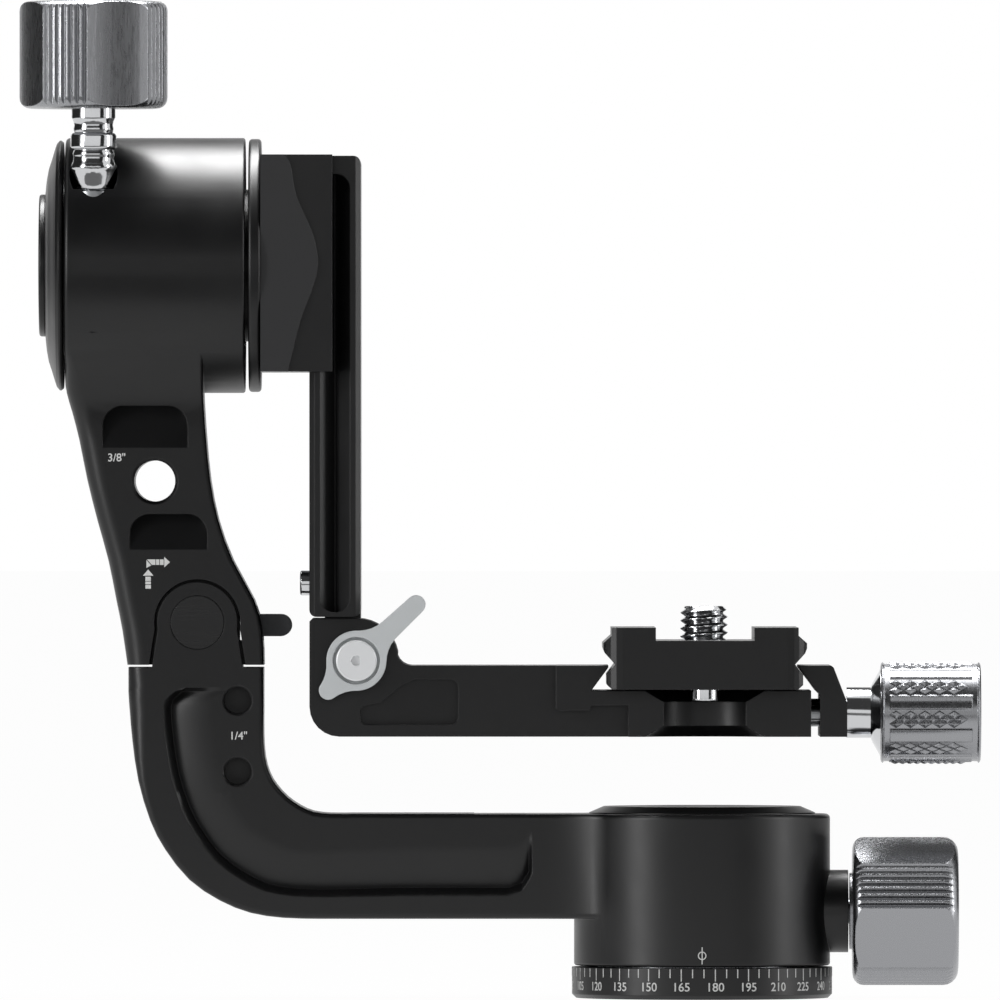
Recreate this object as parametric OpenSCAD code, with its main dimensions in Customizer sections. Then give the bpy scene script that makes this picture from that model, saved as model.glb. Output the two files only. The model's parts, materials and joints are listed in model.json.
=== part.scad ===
// Folding gimbal tripod head, millimetres.
// +X runs from the arms to the pan head, +Y away from the front, +Z up.
// Origin: centre of the pan base's underside, at the mouth of its tripod thread.

/* [Pan base] */
// Radius of the graduated dial
dial_r = 26; // [24.5:0.1:30]
// Height of the graduated dial
dial_h = 6.2; // [5:0.1:7]
// Running gap between the dial and the pan head
dial_gap = 0.3; // [0.2:0.05:0.6]
// Radius of the spindle drum that the pan head turns on
spindle_r = 14; // [12:0.1:15]
// Tapping radius of the tripod thread
tripod_bore_r = 4; // [3.6:0.05:4.3]
// Depth of the tripod thread
tripod_bore_h = 9; // [7:0.5:11]

/* [Pan head] */
// Radius of the pan housing
head_r = 25.6; // [24.8:0.1:29]
// Height of the pan housing's top above the tripod
head_top = 36.8; // [36:0.1:42]
// Radius of the top cap
cap_r = 22.6; // [20.5:0.1:24]
// Height of the top cap above the housing
cap_h = 1.5; // [1:0.1:3]
// Height of the pan lock's axis
pan_lock_z = 17.3; // [16.5:0.1:19]
// Radius of the boss that carries the pan lock
pan_boss_r = 8.25; // [7:0.05:9]
// Reach of that boss from the pan axis
pan_boss_x = 29.2; // [28:0.1:34]

/* [Round knobs] */
// Radius of the pan and tilt lock knobs
knob_r = 14.8; // [12:0.1:18]
// Length of the pan and tilt lock knobs
knob_h = 21.4; // [16:0.1:28]
// Grooves in each ribbed side of a knob
knob_grooves = 7; // [4:1:10]
// Depth of a knob's grooves
knob_groove_d = 0.7; // [0.3:0.05:1]

/* [Arms] */
// Half of the arms' width, front to back
arm_w = 12; // [10.5:0.1:15]
// Height of the joint between the lower and upper arms
split_z = 66.35; // [62:0.1:68]
// Gap between the lower and upper arms there
split_gap = 0.5; // [0.3:0.05:0.8]
// Height of the horizontal arm's underside
arm_bottom = 15.9; // [14:0.1:18]
// Distance from the pan axis to the fold pin
reach = 100.8; // [96:0.2:110]
// Height of the fold pin
pin_z = 75.1; // [73:0.1:78]
// Radius of the fold pin's heads
pin_head_r = 5.4; // [4.6:0.1:6]
// Radius of the fold pin's shank
pin_r = 4; // [3:0.1:4.2]
// Radius of the tongue's round top
tongue_r = 8; // [7:0.1:9]
// Travel of the upper arm when it is lifted to fold
lift = 21.5; // [14:0.5:22]
// Thickness of the blade that slides between the cheeks
blade_t = 9.8; // [7:0.1:12]
// Radius of the two small accessory threads
small_bore_r = 2.7; // [2.4:0.05:3]
// Radius of the large accessory thread
large_bore_r = 4.1; // [3.6:0.05:4.5]
// Depth of the scooped channel in the lower arm
channel_d = 2.6; // [1:0.1:3.5]

/* [Tilt housing] */
// Height of the tilt axis
tilt_z = 146.4; // [142:0.2:152]
// Radius of the tilt housing
tilt_r = 25.5; // [24.8:0.1:29]
// Length of the tilt housing
tilt_w = 35.9; // [35:0.1:40]
// Radius of the tilt shaft
shaft_r = 15.2; // [13.5:0.1:15.6]
// Radius of the flange on the tilt shaft
flange_r = 25.3; // [22:0.1:28]
// Distance in front of the tilt axis at which the lock screw stands
lock_y = 18; // [17.8:0.1:19]

/* [Rail and swing clamp] */
// Thickness of the height rail
rail_t = 10.2; // [9.6:0.1:12]
// Width of the height rail
rail_w = 38; // [34:0.5:42]
// Length of the height rail
rail_h = 91.9; // [84:0.1:96]
// Width of the V groove in each side of the rail
rail_v = 6; // [5:0.1:6.6]
// Height of the swing clamp
clamp_h = 43.2; // [36:0.1:46]
// Thickness of the clamp's jaws beside the rail
jaw_t = 5; // [4:0.1:8]

/* [Platform] */
// Height of the platform's fold axis
fold_z = 67.5; // [67.5:0.1:69]
// Radius of the platform's knuckle
knuckle_r = 8.4; // [7.8:0.1:8.5]
// Half of the platform arm's width
platform_w = 15; // [13:0.1:17]
// Height of the platform's underside
platform_bottom = 52.3; // [50:0.1:53.4]
// Radius of the clamp knob
clamp_knob_r = 10.3; // [9:0.1:12]
// Length of the clamp knob
clamp_knob_h = 20; // [16:0.1:24]

/* [Quick plate] */
// Width of the dovetail at the foot of the plate
dovetail_w = 39; // [37:0.1:39.6]
// Length of the plate, front to back
plate_l = 60; // [50:1:80]
// Height of the plate's seat above its underside
plate_h = 9.7; // [8.8:0.1:11]
// Radius of the camera screw
screw_r = 4.76; // [3.1:0.01:4.8]
// Height of the camera screw above the seat
screw_h = 6.8; // [4.5:0.1:8]

/* [Hidden] */
$fn = 64;
black = "#1b1c1e";
silver = "#a3a5a8";
chrome = "#d6d8da";
light_grey = "#c9cbcc";
dark_grey = "#3a3b3d";
steel = "#8d9094";
bronze = "#8a7448";
run = 0.05;            // radial clearance of a running fit
clear = 0.3;           // clearance between parts that pass each other

// ---- shared helpers ----

function arc(cx, cy, r, from, to, n = 5) =
    [for (i = [0:n]) let (a = from + (to - from) * i / n) [cx + r * cos(a), cy + r * sin(a)]];

// Catmull-Rom curve through rows of numbers, n steps from one row to the next.
function curve_at(a, b, c, d, t) =
    0.5 * ((2 * b) + (c - a) * t + (2 * a - 5 * b + 4 * c - d) * t * t
        + (3 * b - a - 3 * c + d) * t * t * t);
function curve(rows, n) = let (last = len(rows) - 1) [
    for (i = [0:last - 1]) for (k = [0:n - 1])
        curve_at(rows[max(i - 1, 0)], rows[i], rows[i + 1], rows[min(i + 2, last)], k / n),
    rows[last]
];

// Extrudes a side-view outline (x, z) from the plane y = front to the plane y = back.
module side_slab(front, back)
    translate([0, back, 0]) rotate([90, 0, 0]) linear_extrude(back - front) children();

module toward_x(at) translate(at) rotate([0, 90, 0]) children();
module toward_y(at) translate(at) rotate([-90, 0, 0]) children();

// A disc along +Z whose lower and upper edges are rounded.
module puck(r, h, low = 0.6, high = 0.6)
    rotate_extrude() polygon(concat(
        [[0, 0]], arc(r - low, low, low, -90, 0),
        arc(r - high, h - high, high, 0, 90), [[0, h]]
    ));

module tube(outer, inner, h)
    difference() {
        cylinder(r = outer, h = h);
        translate([0, 0, -1]) cylinder(r = inner, h = h + 2);
    }

// A solid skin over stations of matching points: each station lists its front points
// from the outer edge of the arm to the inner edge, then the same points behind.
module loft(stations) {
    half = len(stations[0]) / 2;
    size = 2 * half;
    last = len(stations) - 1;
    around = concat([for (k = [0:half - 1]) k], [for (k = [size - 1:-1:half]) k]);
    function at(s, k) = s * size + around[k % size];
    sides = [for (s = [0:last - 1]) for (k = [0:size - 1]) each [
        [at(s, k), at(s, k + 1), at(s + 1, k)],
        [at(s, k + 1), at(s + 1, k + 1), at(s + 1, k)]
    ]];
    function cap(s, k, flip) = let (a = s * size + k, b = s * size + half + k)
        flip ? [[a, b, a + 1], [a + 1, b, b + 1]] : [[a, a + 1, b], [a + 1, b + 1, b]];
    caps = [for (k = [0:half - 2]) each concat(cap(0, k, true), cap(last, k, false))];
    polyhedron(points = [for (s = stations) each s], faces = concat(sides, caps), convexity = 6);
}

// The points of one station: an arm's section between its outer and inner edge points.
// edge = [outer x, outer z, inner x, inner z, half width, outer round, inner round, rim, depth]
function station(edge) =
    let (
        outer = [edge[0], edge[1]],
        inner = [edge[2], edge[3]],
        span = norm(inner - outer),
        way = (inner - outer) / span,
        w = edge[4],
        rim = edge[7],
        d = edge[8],
        half = concat(
            arc(edge[5], w - edge[5], edge[5], 180, 90, 5),
            [[rim, w], [rim + 0.7, w - 0.25 * d], [rim + 1.6, w - d]],
            [for (t = [0.2, 0.4, 0.6, 0.8, 1]) [rim + 1.6 + (channel_w - 1.6) * t, w - d * pow(1 - t, 1.6)]],
            arc(span - edge[6], w - edge[6], edge[6], 90, 0, 4)
        )
    )
    concat(
        [for (p = half) [outer[0] + way[0] * p[0], -p[1], outer[1] + way[1] * p[0]]],
        [for (p = half) [outer[0] + way[0] * p[0], p[1], outer[1] + way[1] * p[0]]]
    );

// ---- shared places ----

guide_y = [-13.5, 13.5];                 // the platform clamp's guide pins, either side of its screw
channel_w = 10.4;                        // the scooped channel, from its rim to where it fades out
pin_x = -reach;
arm_top = head_top + 0.1;                // top of the horizontal arm
hub_r = dial_r - 5;                      // shoulder of the spindle above the dial
head_floor = dial_h + dial_gap;
hub_top = dial_h + 2.3;
drum_top = head_top - 6.8;
bush_h = 3.5;
bush_r = spindle_r + 3;
head_bore = spindle_r + 1;
cavity_r = spindle_r + 4.5;
cavity_floor = drum_top - 1.1;
bush_low_z = hub_top + clear;
bush_high_z = cavity_floor - bush_h;
pad_r = 4;

housing_left = pin_x - 26.4;
housing_right = housing_left + tilt_w;
shaft_left = housing_left + 1.6;
recess_r = shaft_r + 2.8;
recess_d = 1.9;
bearing_r = shaft_r + 3.8;
bearing_w = 7;
bearing_x = housing_left + 11.2;
lock_x = housing_left + 5.8;
shoe_r = 3.6;
shoe_bore_r = shoe_r + run;
pocket_z = tilt_z + 15;
pocket_r = 4.8;
flange_left = housing_right + 0.7;
flange_t = 2.5;
clamp_left = flange_left + flange_t;
clamp_right = clamp_left + 14.3;
rail_left = clamp_left + 9.7;
rail_right = rail_left + rail_t;
rail_mid = (rail_left + rail_right) / 2;
rail_y = rail_w / 2;
clamp_z = tilt_z + 0.3 - clamp_h / 2;
rail_z = fold_z + 8.7;
fold_x = rail_right - 0.8;
latch_x = pin_x + 10.6;
latch_z = pin_z + 1.3;

plate_x = 0.4;
jaw_w = rail_y;                          // half width of the platform clamp, flush with the rail
shelf_z = platform_bottom + 9.2;
plate_z = shelf_z + clear;
seat_z = plate_z + plate_h;
platform_top = fold_z - 1;
clamp_axis_z = platform_bottom + 4.7;
fixed_lip_x = plate_x - dovetail_w / 2 + 0.3;
moving_lip_x = plate_x + dovetail_w / 2 - 0.7;
clamp_end_x = plate_x + dovetail_w / 2 + 1.7;
jaw_x = clamp_end_x + 1.8;
jaw_out = jaw_x + 5.4;

// Cross-section of a knob with four slightly crowned flats and four grooved arcs,
// first flat centred on face_a.
crown = 0.4;
function crowned(r, a, from_middle, half) =
    let (out = r * cos(half) + crown * (1 - pow(from_middle, 2)), along = from_middle * r * sin(half))
    [out * cos(a) - along * sin(a), out * sin(a) + along * cos(a)];
function knob_outline(r, face_a) =
    let (flat_half = 25.5, step = (90 - 2 * flat_half) / knob_grooves)
    [for (q = [0:3]) each concat(
        [for (t = [-0.75:0.25:0.75]) crowned(r, face_a + 90 * q, t, flat_half)],
        [for (k = [0:knob_grooves - 1]) each
            let (a = face_a + 90 * q + flat_half + step * k)
            [[r * cos(a + 0.12 * step), r * sin(a + 0.12 * step)],
             [(r - knob_groove_d) * cos(a + step / 2), (r - knob_groove_d) * sin(a + step / 2)],
             [r * cos(a + 0.88 * step), r * sin(a + 0.88 * step)]]]
    )];

module grooved_knob(r, h, face_a, low, high)
    intersection() {
        linear_extrude(h) polygon(knob_outline(r, face_a));
        puck(r, h, low, high);
    }

// ---- pan base ----

module pan_base() color(black) difference() {
    rotate_extrude() polygon([[0, 0], [dial_r - 0.8, 0], [dial_r, 0.8], [dial_r, dial_h], [0, dial_h]]);
    translate([0, 0, -1]) cylinder(r = tripod_bore_r + 2.5, h = dial_h + 2);
    base_screw_places() base_screw_form(0);
}

module pan_spindle() color(silver) difference() {
    union() {
        translate([0, 0, dial_h]) cylinder(r = hub_r, h = hub_top - dial_h);
        translate([0, 0, dial_h]) cylinder(r = spindle_r, h = drum_top - dial_h);
    }
    cylinder(r = tripod_bore_r + 2.5, h = tripod_bore_h + 0.6);
    base_screw_places() base_screw_form(0);
    translate([0, 0, drum_top - 8]) cylinder(r = 2, h = 9);
}

module tripod_bush() color(steel) tube(tripod_bore_r + 2.5, tripod_bore_r, tripod_bore_h);

module base_screw_places()
    for (a = [30, 150, 270]) rotate(a) translate([(tripod_bore_r + 2.5 + spindle_r) / 2, 0, 0]) children();

// Countersunk screw, head down at z = 0
module base_screw_form(sink) {
    translate([0, 0, sink]) cylinder(r1 = 2.9, r2 = 1.5, h = 1.4);
    translate([0, 0, sink]) cylinder(r = 1.5, h = 14);
}

module base_screws() color(steel) base_screw_places() difference() {
    base_screw_form(0);
    translate([0, 0, -1]) cylinder(r = 1, h = 1.8, $fn = 6);
}

module spindle_retainer() color(steel)
    translate([0, 0, drum_top]) tube(bush_r, 2.1, 2);

module retainer_screw() color(steel) {
    translate([0, 0, drum_top + 2]) difference() {
        puck(4.2, 2.6, 0.2, 0.5);
        translate([0, 0, 1]) cylinder(r = 1.7, h = 3, $fn = 6);
    }
    translate([0, 0, drum_top - 8]) cylinder(r = 2, h = 10);
}

// ---- pan head ----

// Lower arm: its edge points from the shoulder, round the elbow and along to the pan housing.
// Each row: outer x, outer z, inner x, inner z, half width, outer round, inner round, rim, depth.
left_edge = pin_x - 13.8;
right_edge = pin_x + 13.2;
shoulder_z = split_z - split_gap / 2;
elbow = [
    [left_edge, shoulder_z, right_edge, shoulder_z, arm_w, 3.6, 1, 6.6, 0],
    [left_edge, 62.1, right_edge, 62.1, arm_w, 3.6, 1, 10, 0],
    [left_edge, 61.3, right_edge, 61.3, arm_w, 3.6, 1, 9.2, channel_d],
    [left_edge + 0.1, 59.5, right_edge, 59.5, arm_w, 3.5, 1, 7.2, channel_d],
    [left_edge + 0.3, 57, right_edge, 57.2, arm_w, 3.4, 1, 6.6, channel_d],
    [left_edge + 0.8, 51.5, right_edge, 52.6, arm_w, 2.8, 1, 6.6, channel_d],
    [left_edge + 2, 43.5, right_edge + 0.3, 48.3, arm_w, 1.7, 1, 6.6, channel_d],
    [left_edge + 4.4, 35.5, right_edge + 1.2, 45, arm_w, 1.2, 1, 6.7, channel_d],
    [left_edge + 7.4, 29.7, right_edge + 2.6, 42.6, arm_w, 1.2, 1, 6.7, channel_d],
    [left_edge + 12.2, 23.7, right_edge + 4.8, 40.2, arm_w, 1.2, 1, 6.4, channel_d],
    [left_edge + 18.2, 19.6, right_edge + 7.4, 38.4, arm_w, 1.2, 1, 5.9, channel_d],
    [left_edge + 24.4, arm_bottom + 1.2, right_edge + 10, arm_top + 0.4, arm_w, 1.2, 1, 5.2, channel_d],
    [left_edge + 31, arm_bottom + 0.2, right_edge + 13.4, arm_top, arm_w, 1.2, 1, 4.8, channel_d],
    [left_edge + 38, arm_bottom, right_edge + 18, arm_top, arm_w, 1.2, 1, 4.6, channel_d]
];
flare_r = 22;
flare_x = -32.4;
straight = [
    [-60, arm_bottom, -60, arm_top, arm_w, 1.2, 1, 4.6, channel_d],
    [-45, arm_bottom, -45, arm_top, arm_w, 1.2, 1, 4.6, channel_d],
    [-38.6, arm_bottom, -38.6, arm_top, arm_w, 1.2, 1, 4.6, channel_d],
    [-36, arm_bottom, -36, arm_top, arm_w, 1.2, 1, 5.6, channel_d],
    [-34.6, arm_bottom, -34.6, arm_top, arm_w, 1.2, 1, 7.8, channel_d],
    [-34, arm_bottom, -34, arm_top, arm_w, 1.2, 1, 9, 0]
];
flare = [
    for (a = [0, 9, 18, 27, 36, 43])
        [flare_x + flare_r * sin(a), arm_bottom, flare_x + flare_r * sin(a), arm_top,
            arm_w + flare_r * (1 - cos(a)), 1.2, 1, 7, 0],
    [-11, arm_bottom, -11, arm_top, arm_w + 6.2, 1.2, 1, 7, 0]
];

cheek_t = arm_w - blade_t / 2 - 0.1;
small_bore_z = [59.5, 45.3];
small_bore_x = pin_x + 8;

// The lower arm is one bent bar. Its upright post is a node of its own above the bend, so that
// what strikes the arm follows the bend.
post_low = small_bore_z[1] - small_bore_r - 1.4;
module above_bend() translate([pin_x - 30, -arm_w - 1, post_low]) cube([60, 2 * arm_w + 2, 60]);
module lower_arm() color(black) difference() {
    whole_lower_arm();
    above_bend();
}
module lower_arm_post() color(black) intersection() {
    whole_lower_arm();
    above_bend();
}

module whole_lower_arm() difference() {
    union() {
        loft([for (e = concat(curve(elbow, 2), straight, flare)) station(e)]);
        translate([0, 0, head_floor]) puck(head_r, head_top - head_floor, 0.5, 0.9);
        toward_x([0, 0, pan_lock_z]) cylinder(r = pan_boss_r, h = pan_boss_x);
        tongue_cheek(-arm_w);
        tongue_cheek(arm_w - cheek_t);
    }
    pan_bores();
    blade_pocket();
    toward_y([pin_x, -arm_w - 1, pin_z]) cylinder(r = pin_head_r, h = 3);
    toward_y([pin_x, arm_w - 2, pin_z]) cylinder(r = pin_head_r, h = 3);
    toward_y([pin_x, -arm_w - 1, pin_z]) cylinder(r = pin_r, h = 2 * arm_w + 2);
    for (z = small_bore_z) small_bore(z);
    translate([-head_r - 20, -head_r - 5, arm_top - 0.1]) cube([2 * head_r + 20, 2 * head_r + 10, 5]);
}

module tongue_outline() {
    translate([pin_x, pin_z]) circle(tongue_r);
    polygon([
        [pin_x - tongue_r - 1.2, shoulder_z - 1], [pin_x + tongue_r + 1.2, shoulder_z - 1],
        [pin_x + tongue_r - 0.6, pin_z + 2], [pin_x - tongue_r + 0.6, pin_z + 2]
    ]);
}
module tongue_cheek(front) side_slab(front, front + cheek_t) tongue_outline();

// The slot that the upper arm's blade slides in, with its round bottom
blade_w = 2 * pin_r + 6.8;
blade_low = pin_z - lift - pin_r - 3.4;
module blade_pocket()
    side_slab(-blade_t / 2 - 0.1, blade_t / 2 + 0.1) {
        translate([pin_x - blade_w / 2 - 0.1, blade_low + blade_w / 2]) square([blade_w + 0.2, 60]);
        translate([pin_x, blade_low + blade_w / 2]) circle(blade_w / 2 + 0.1 + clear);
    }

module small_bore(z) {
    toward_y([small_bore_x, -arm_w - 1, z]) cylinder(r = small_bore_r, h = 7);
    toward_y([small_bore_x, -arm_w - 0.01, z])
        cylinder(r1 = small_bore_r + 0.35, r2 = small_bore_r, h = 0.35);
}

module pan_bores() {
    translate([0, 0, head_floor - 1]) cylinder(r = hub_r + 0.5, h = hub_top + clear - head_floor + 1);
    translate([0, 0, head_floor - 1]) cylinder(r = head_bore, h = 40);
    translate([0, 0, bush_low_z - 1]) cylinder(r = bush_r, h = bush_h + 1);
    translate([0, 0, bush_high_z]) cylinder(r = bush_r, h = bush_h + 1);
    translate([0, 0, cavity_floor]) cylinder(r = cavity_r, h = 20);
    toward_x([spindle_r - 2, 0, pan_lock_z]) cylinder(r = pad_r + run, h = pan_boss_x);
}

module pan_bushes() color(bronze)
    for (z = [bush_low_z, bush_high_z]) translate([0, 0, z]) tube(bush_r, spindle_r + run, bush_h);

module thrust_washer() color(bronze)
    translate([0, 0, cavity_floor]) tube(bush_r, spindle_r + clear, drum_top - cavity_floor - 0.1);

module pan_top_cap() color(black) translate([0, 0, head_top]) difference() {
    union() {
        rotate_extrude() polygon(concat(
            [[0, 0], [cap_r, 0], [cap_r, 0.25]],
            [[cap_r - 2.9, cap_h]],
            [[cap_r - 7, cap_h]],
            [for (t = [0.2:0.2:1]) [(cap_r - 7) * (1 - t), cap_h - 0.7 * (1 - pow(1 - t, 2))]]
        ));
        translate([0, 0, -1.2]) cylinder(r = cavity_r, h = 1.3);
    }
    translate([0, 0, -2]) cylinder(r = 5, h = 1.4);
}

module fold_pin() color(black) difference() {
    union() {
        toward_y([pin_x, -arm_w, pin_z]) cylinder(r = pin_head_r - 0.1, h = 2);
        toward_y([pin_x, arm_w - 2, pin_z]) cylinder(r = pin_head_r - 0.1, h = 2);
        toward_y([pin_x, -arm_w, pin_z]) cylinder(r = pin_r, h = 2 * arm_w);
    }
}

// Threaded collar in the boss that guides the lock stud
collar_x = spindle_r + 8.4;
module pan_lock_collar() color(steel)
    toward_x([collar_x, 0, pan_lock_z]) tube(pad_r + run, 2.5 + run, pan_boss_x - collar_x);

// ---- pan lock ----

module pan_brake_pad() color(dark_grey) difference() {
    toward_x([spindle_r - 1.5, 0, pan_lock_z]) cylinder(r = pad_r, h = 7.5);
    cylinder(r = spindle_r + 0.15, h = 60);
}

stud_x = spindle_r + 6.2;
module pan_lock_stud() color(steel)
    toward_x([stud_x, 0, pan_lock_z]) cylinder(r = 2.5, h = pan_boss_x + 9 - stud_x);

pan_knob_turned = 23;
module pan_lock_knob() color(silver) difference() {
    union() {
        toward_x([pan_boss_x + 0.9, 0, pan_lock_z])
            rotate(-90) grooved_knob(knob_r, knob_h - 0.3, pan_knob_turned, 2.2, 3);
        toward_x([pan_boss_x + clear, 0, pan_lock_z]) cylinder(r = pan_boss_r - 0.6, h = 1);
    }
    toward_x([pan_boss_x, 0, pan_lock_z]) cylinder(r = 2.5, h = 9);
}

// ---- upper arm with the tilt housing ----

// Edge points from the shoulder up to the housing, rows as in the lower arm without the channel.
upper_low = split_z + split_gap / 2;
upper_edges = [
    [pin_x - 14, upper_low, pin_x + 13.3, upper_low, arm_w, 4, 1, 7, 0],
    [pin_x - 15, 73.5, pin_x + 13, 73.5, arm_w, 4, 1, 7, 0],
    [pin_x - 16.2, 79.5, pin_x + 11.4, 79.5, arm_w, 4, 1, 7, 0],
    [pin_x - 17.8, 87.5, pin_x + 7.1, 87.5, arm_w, 4, 1, 7, 0],
    [pin_x - 20, 95.5, pin_x + 4.2, 95.5, arm_w, 4, 1, 7, 0],
    [pin_x - 22, 103.5, pin_x + 2.6, 103.5, arm_w, 4, 1, 7, 0],
    [pin_x - 23.6, 111.5, pin_x + 1.8, 111.5, arm_w, 4, 1, 7, 0],
    [pin_x - 25, tilt_z - 29.4, pin_x + 1.4, tilt_z - 29.4, arm_w + 0.3, 3.8, 1, 7, 0],
    [pin_x - 26.1, tilt_z - 25.4, pin_x + 1.2, tilt_z - 25.4, arm_w + 1.5, 3.4, 1, 7, 0],
    [pin_x - 26.2, tilt_z - 21.4, pin_x + 1.2, tilt_z - 21.4, arm_w + 3.8, 2.4, 1, 7, 0],
    [pin_x - 26.2, tilt_z - 18.2, pin_x + 1.2, tilt_z - 18.2, arm_w + 6.2, 1.4, 1, 7, 0],
    [pin_x - 26.2, tilt_z - 15, pin_x + 1.2, tilt_z - 15, arm_w + 7.4, 1, 1, 7, 0],
    [pin_x - 26.2, tilt_z - 10, pin_x + 1.2, tilt_z - 10, arm_w + 7.4, 1, 1, 7, 0]
];
upper_rows = curve(upper_edges, 2);
large_bore_x = pin_x - 8.5;
large_bore_z = 103.3;

module upper_arm() color(black) difference() {
    union() {
        loft([for (i = [len(upper_rows) - 1:-1:0]) station(upper_rows[i])]);
        toward_x([housing_left, 0, tilt_z]) puck(tilt_r, tilt_w, 0.9, 0.5);
        blade();
    }
    tongue_recess(-arm_w - 5, cheek_t + 5.1);
    tongue_recess(arm_w - cheek_t - 0.1, cheek_t + 5.1);
    blade_slot();
    arch_pocket(pin_x - 18.9, pin_x - 1.9, 118.4, 8.5);
    arch_pocket(pin_x - 13.5, pin_x + 2, 96.8, 7.2);
    toward_y([large_bore_x, -arm_w - 1, large_bore_z]) cylinder(r = large_bore_r, h = 2 * arm_w + 2);
    toward_y([large_bore_x, -arm_w - 0.01, large_bore_z])
        cylinder(r1 = large_bore_r + 0.6, r2 = large_bore_r, h = 0.6);
    tilt_bores();
    latch_slot();
}

// The lower arm's tongue with its gap all round
module tongue_recess(front, depth)
    side_slab(front, front + depth) {
        translate([pin_x, pin_z]) circle(tongue_r + tongue_gap);
        polygon([
            [pin_x - tongue_r - 1.2 - tongue_gap, upper_low - 1],
            [pin_x + tongue_r + 1.2 + tongue_gap, upper_low - 1],
            [pin_x + tongue_r + tongue_gap - 0.6, pin_z + 2],
            [pin_x - tongue_r - tongue_gap + 0.6, pin_z + 2]
        ]);
    }
tongue_gap = 0.6;

module blade()
    side_slab(-blade_t / 2, blade_t / 2) {
        translate([pin_x, blade_low + blade_w / 2]) circle(blade_w / 2);
        translate([pin_x - blade_w / 2, blade_low + blade_w / 2])
            square([blade_w, pin_z + 12 - blade_low - blade_w / 2]);
    }
module blade_slot()
    side_slab(-blade_t, blade_t) {
        for (z = [pin_z, pin_z - lift]) translate([pin_x, z]) circle(pin_r + run);
        translate([pin_x - pin_r - run, pin_z - lift]) square([2 * pin_r + 2 * run, lift]);
    }

// An arch-topped pocket, deepest under its top edge, whose floor runs out downward
module arch_pocket(left, right, top, run_out)
    for (side = [-1, 1]) intersection() {
        side_slab(side * arm_w - 4, side * arm_w + 4) {
            for (x = [left + arch_round, right - arch_round])
                translate([x, top - arch_round]) circle(arch_round);
            translate([left + arch_round, top - arch_round])
                square([right - left - 2 * arch_round, arch_round]);
            translate([left, top - 14]) square([right - left, 14 - arch_round]);
        }
        translate([left - 1, side * arm_w, top - run_out])
            rotate([side * atan(arch_d / run_out), 0, 0])
                translate([0, side < 0 ? -10 : 0, -12]) cube([right - left + 2, 10, 30]);
    }
arch_round = 4;
arch_d = 2.8;

module tilt_bores() {
    toward_x([housing_left - 1, 0, tilt_z]) cylinder(r = shaft_r + clear, h = tilt_w + 2);
    toward_x([housing_left - 1, 0, tilt_z]) cylinder(r = recess_r, h = recess_d + 1);
    toward_x([bearing_x, 0, tilt_z]) cylinder(r = bearing_r, h = tilt_w);
    translate([lock_x, -lock_y, tilt_z - 13.5]) cylinder(r = shoe_bore_r, h = 30);
    translate([lock_x, -lock_y, pocket_z]) cylinder(r = pocket_r, h = 20);
}

module tilt_bearings() color(steel)
    for (x = [bearing_x, housing_right - bearing_w - 1]) toward_x([x, 0, tilt_z])
        tube(bearing_r, shaft_r + run, bearing_w);

module tilt_cover() color(black) toward_x([housing_left, 0, tilt_z]) rotate([180, 0, 0]) rotate_extrude()
    polygon([
        [0, 2.2], [6.5, 2.2], [6.5, 0.4], [recess_r - 1, 0.4], [recess_r - 1, -1], [recess_r, -1],
        [recess_r, 0.4], [cover_r - 0.4, 0.4], [cover_r, 0.9], [cover_r, 1.2], [cover_r - 0.7, 1.8],
        [cover_r - 1.9, 2.2], [cover_r - 3.9, 2.8], [cover_r - 5.7, 3.4], [disc_r + 2.9, 3.8],
        [disc_r, 4.1], [0, 4.1]
    ]);
disc_r = 14.2;
cover_r = tilt_r - 0.5;

module tilt_axis_cap() color(black)
    toward_x([housing_left - 5.3, 0, tilt_z]) puck(disc_r, 1.2, 0.5, 0.05);

// Brake shoes: round bars in the bore beside the shaft, hollowed to its curve
module brake_shoe(low, h) difference() {
    translate([lock_x, -lock_y, low]) cylinder(r = shoe_r, h = h);
    toward_x([housing_left - 1, 0, tilt_z]) cylinder(r = shaft_r + 0.15, h = tilt_w);
}
module lower_brake_shoe() color(steel) difference() {
    brake_shoe(tilt_z - 13.2, 11);
    translate([lock_x, -lock_y, tilt_z - 14]) cylinder(r = 2 + run, h = 20);
}

latch_w = 8;
latch_hub_r = 1.6;
latch_pin_r = 0.8;
latch_pin_half = latch_w + 1.5;
latch_tab = [latch_x + 2.2, latch_z - 4.1];
latch_tab_h = 4.4;
module latch_pivot_pin() color(steel)
    toward_y([latch_x, -latch_pin_half, latch_z]) cylinder(r = latch_pin_r, h = 2 * latch_pin_half);

module latch_slot() {
    translate([latch_x - 2.2, -latch_w - 0.15, latch_tab[1] - 0.8]) cube([12, 2 * latch_w + 0.3, 6.9]);
    toward_y([latch_x, -latch_pin_half, latch_z]) cylinder(r = latch_pin_r, h = 2 * latch_pin_half);
}

module fold_latch() color(dark_grey) difference() {
    side_slab(-latch_w, latch_w) {
        translate([latch_x, latch_z]) circle(latch_hub_r);
        translate([latch_x, latch_z - latch_hub_r]) square([2.6, latch_hub_r + 0.3]);
        translate(latch_tab) square([3.8, latch_tab_h]);
        translate(latch_tab + [3.8, latch_tab_h / 2]) circle(latch_tab_h / 2);
    }
    toward_y([latch_x, -latch_w - 1, latch_z]) cylinder(r = latch_pin_r + run, h = 2 * latch_w + 2);
}

// ---- tilt lock ----

upper_shoe_h = 10.6;
module upper_brake_shoe() color(steel) difference() {
    brake_shoe(tilt_z + 4, upper_shoe_h);
    translate([lock_x, -lock_y, tilt_z + 2]) cylinder(r = 2 + run, h = 20);
}

stem_top = tilt_z + 40;
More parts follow.
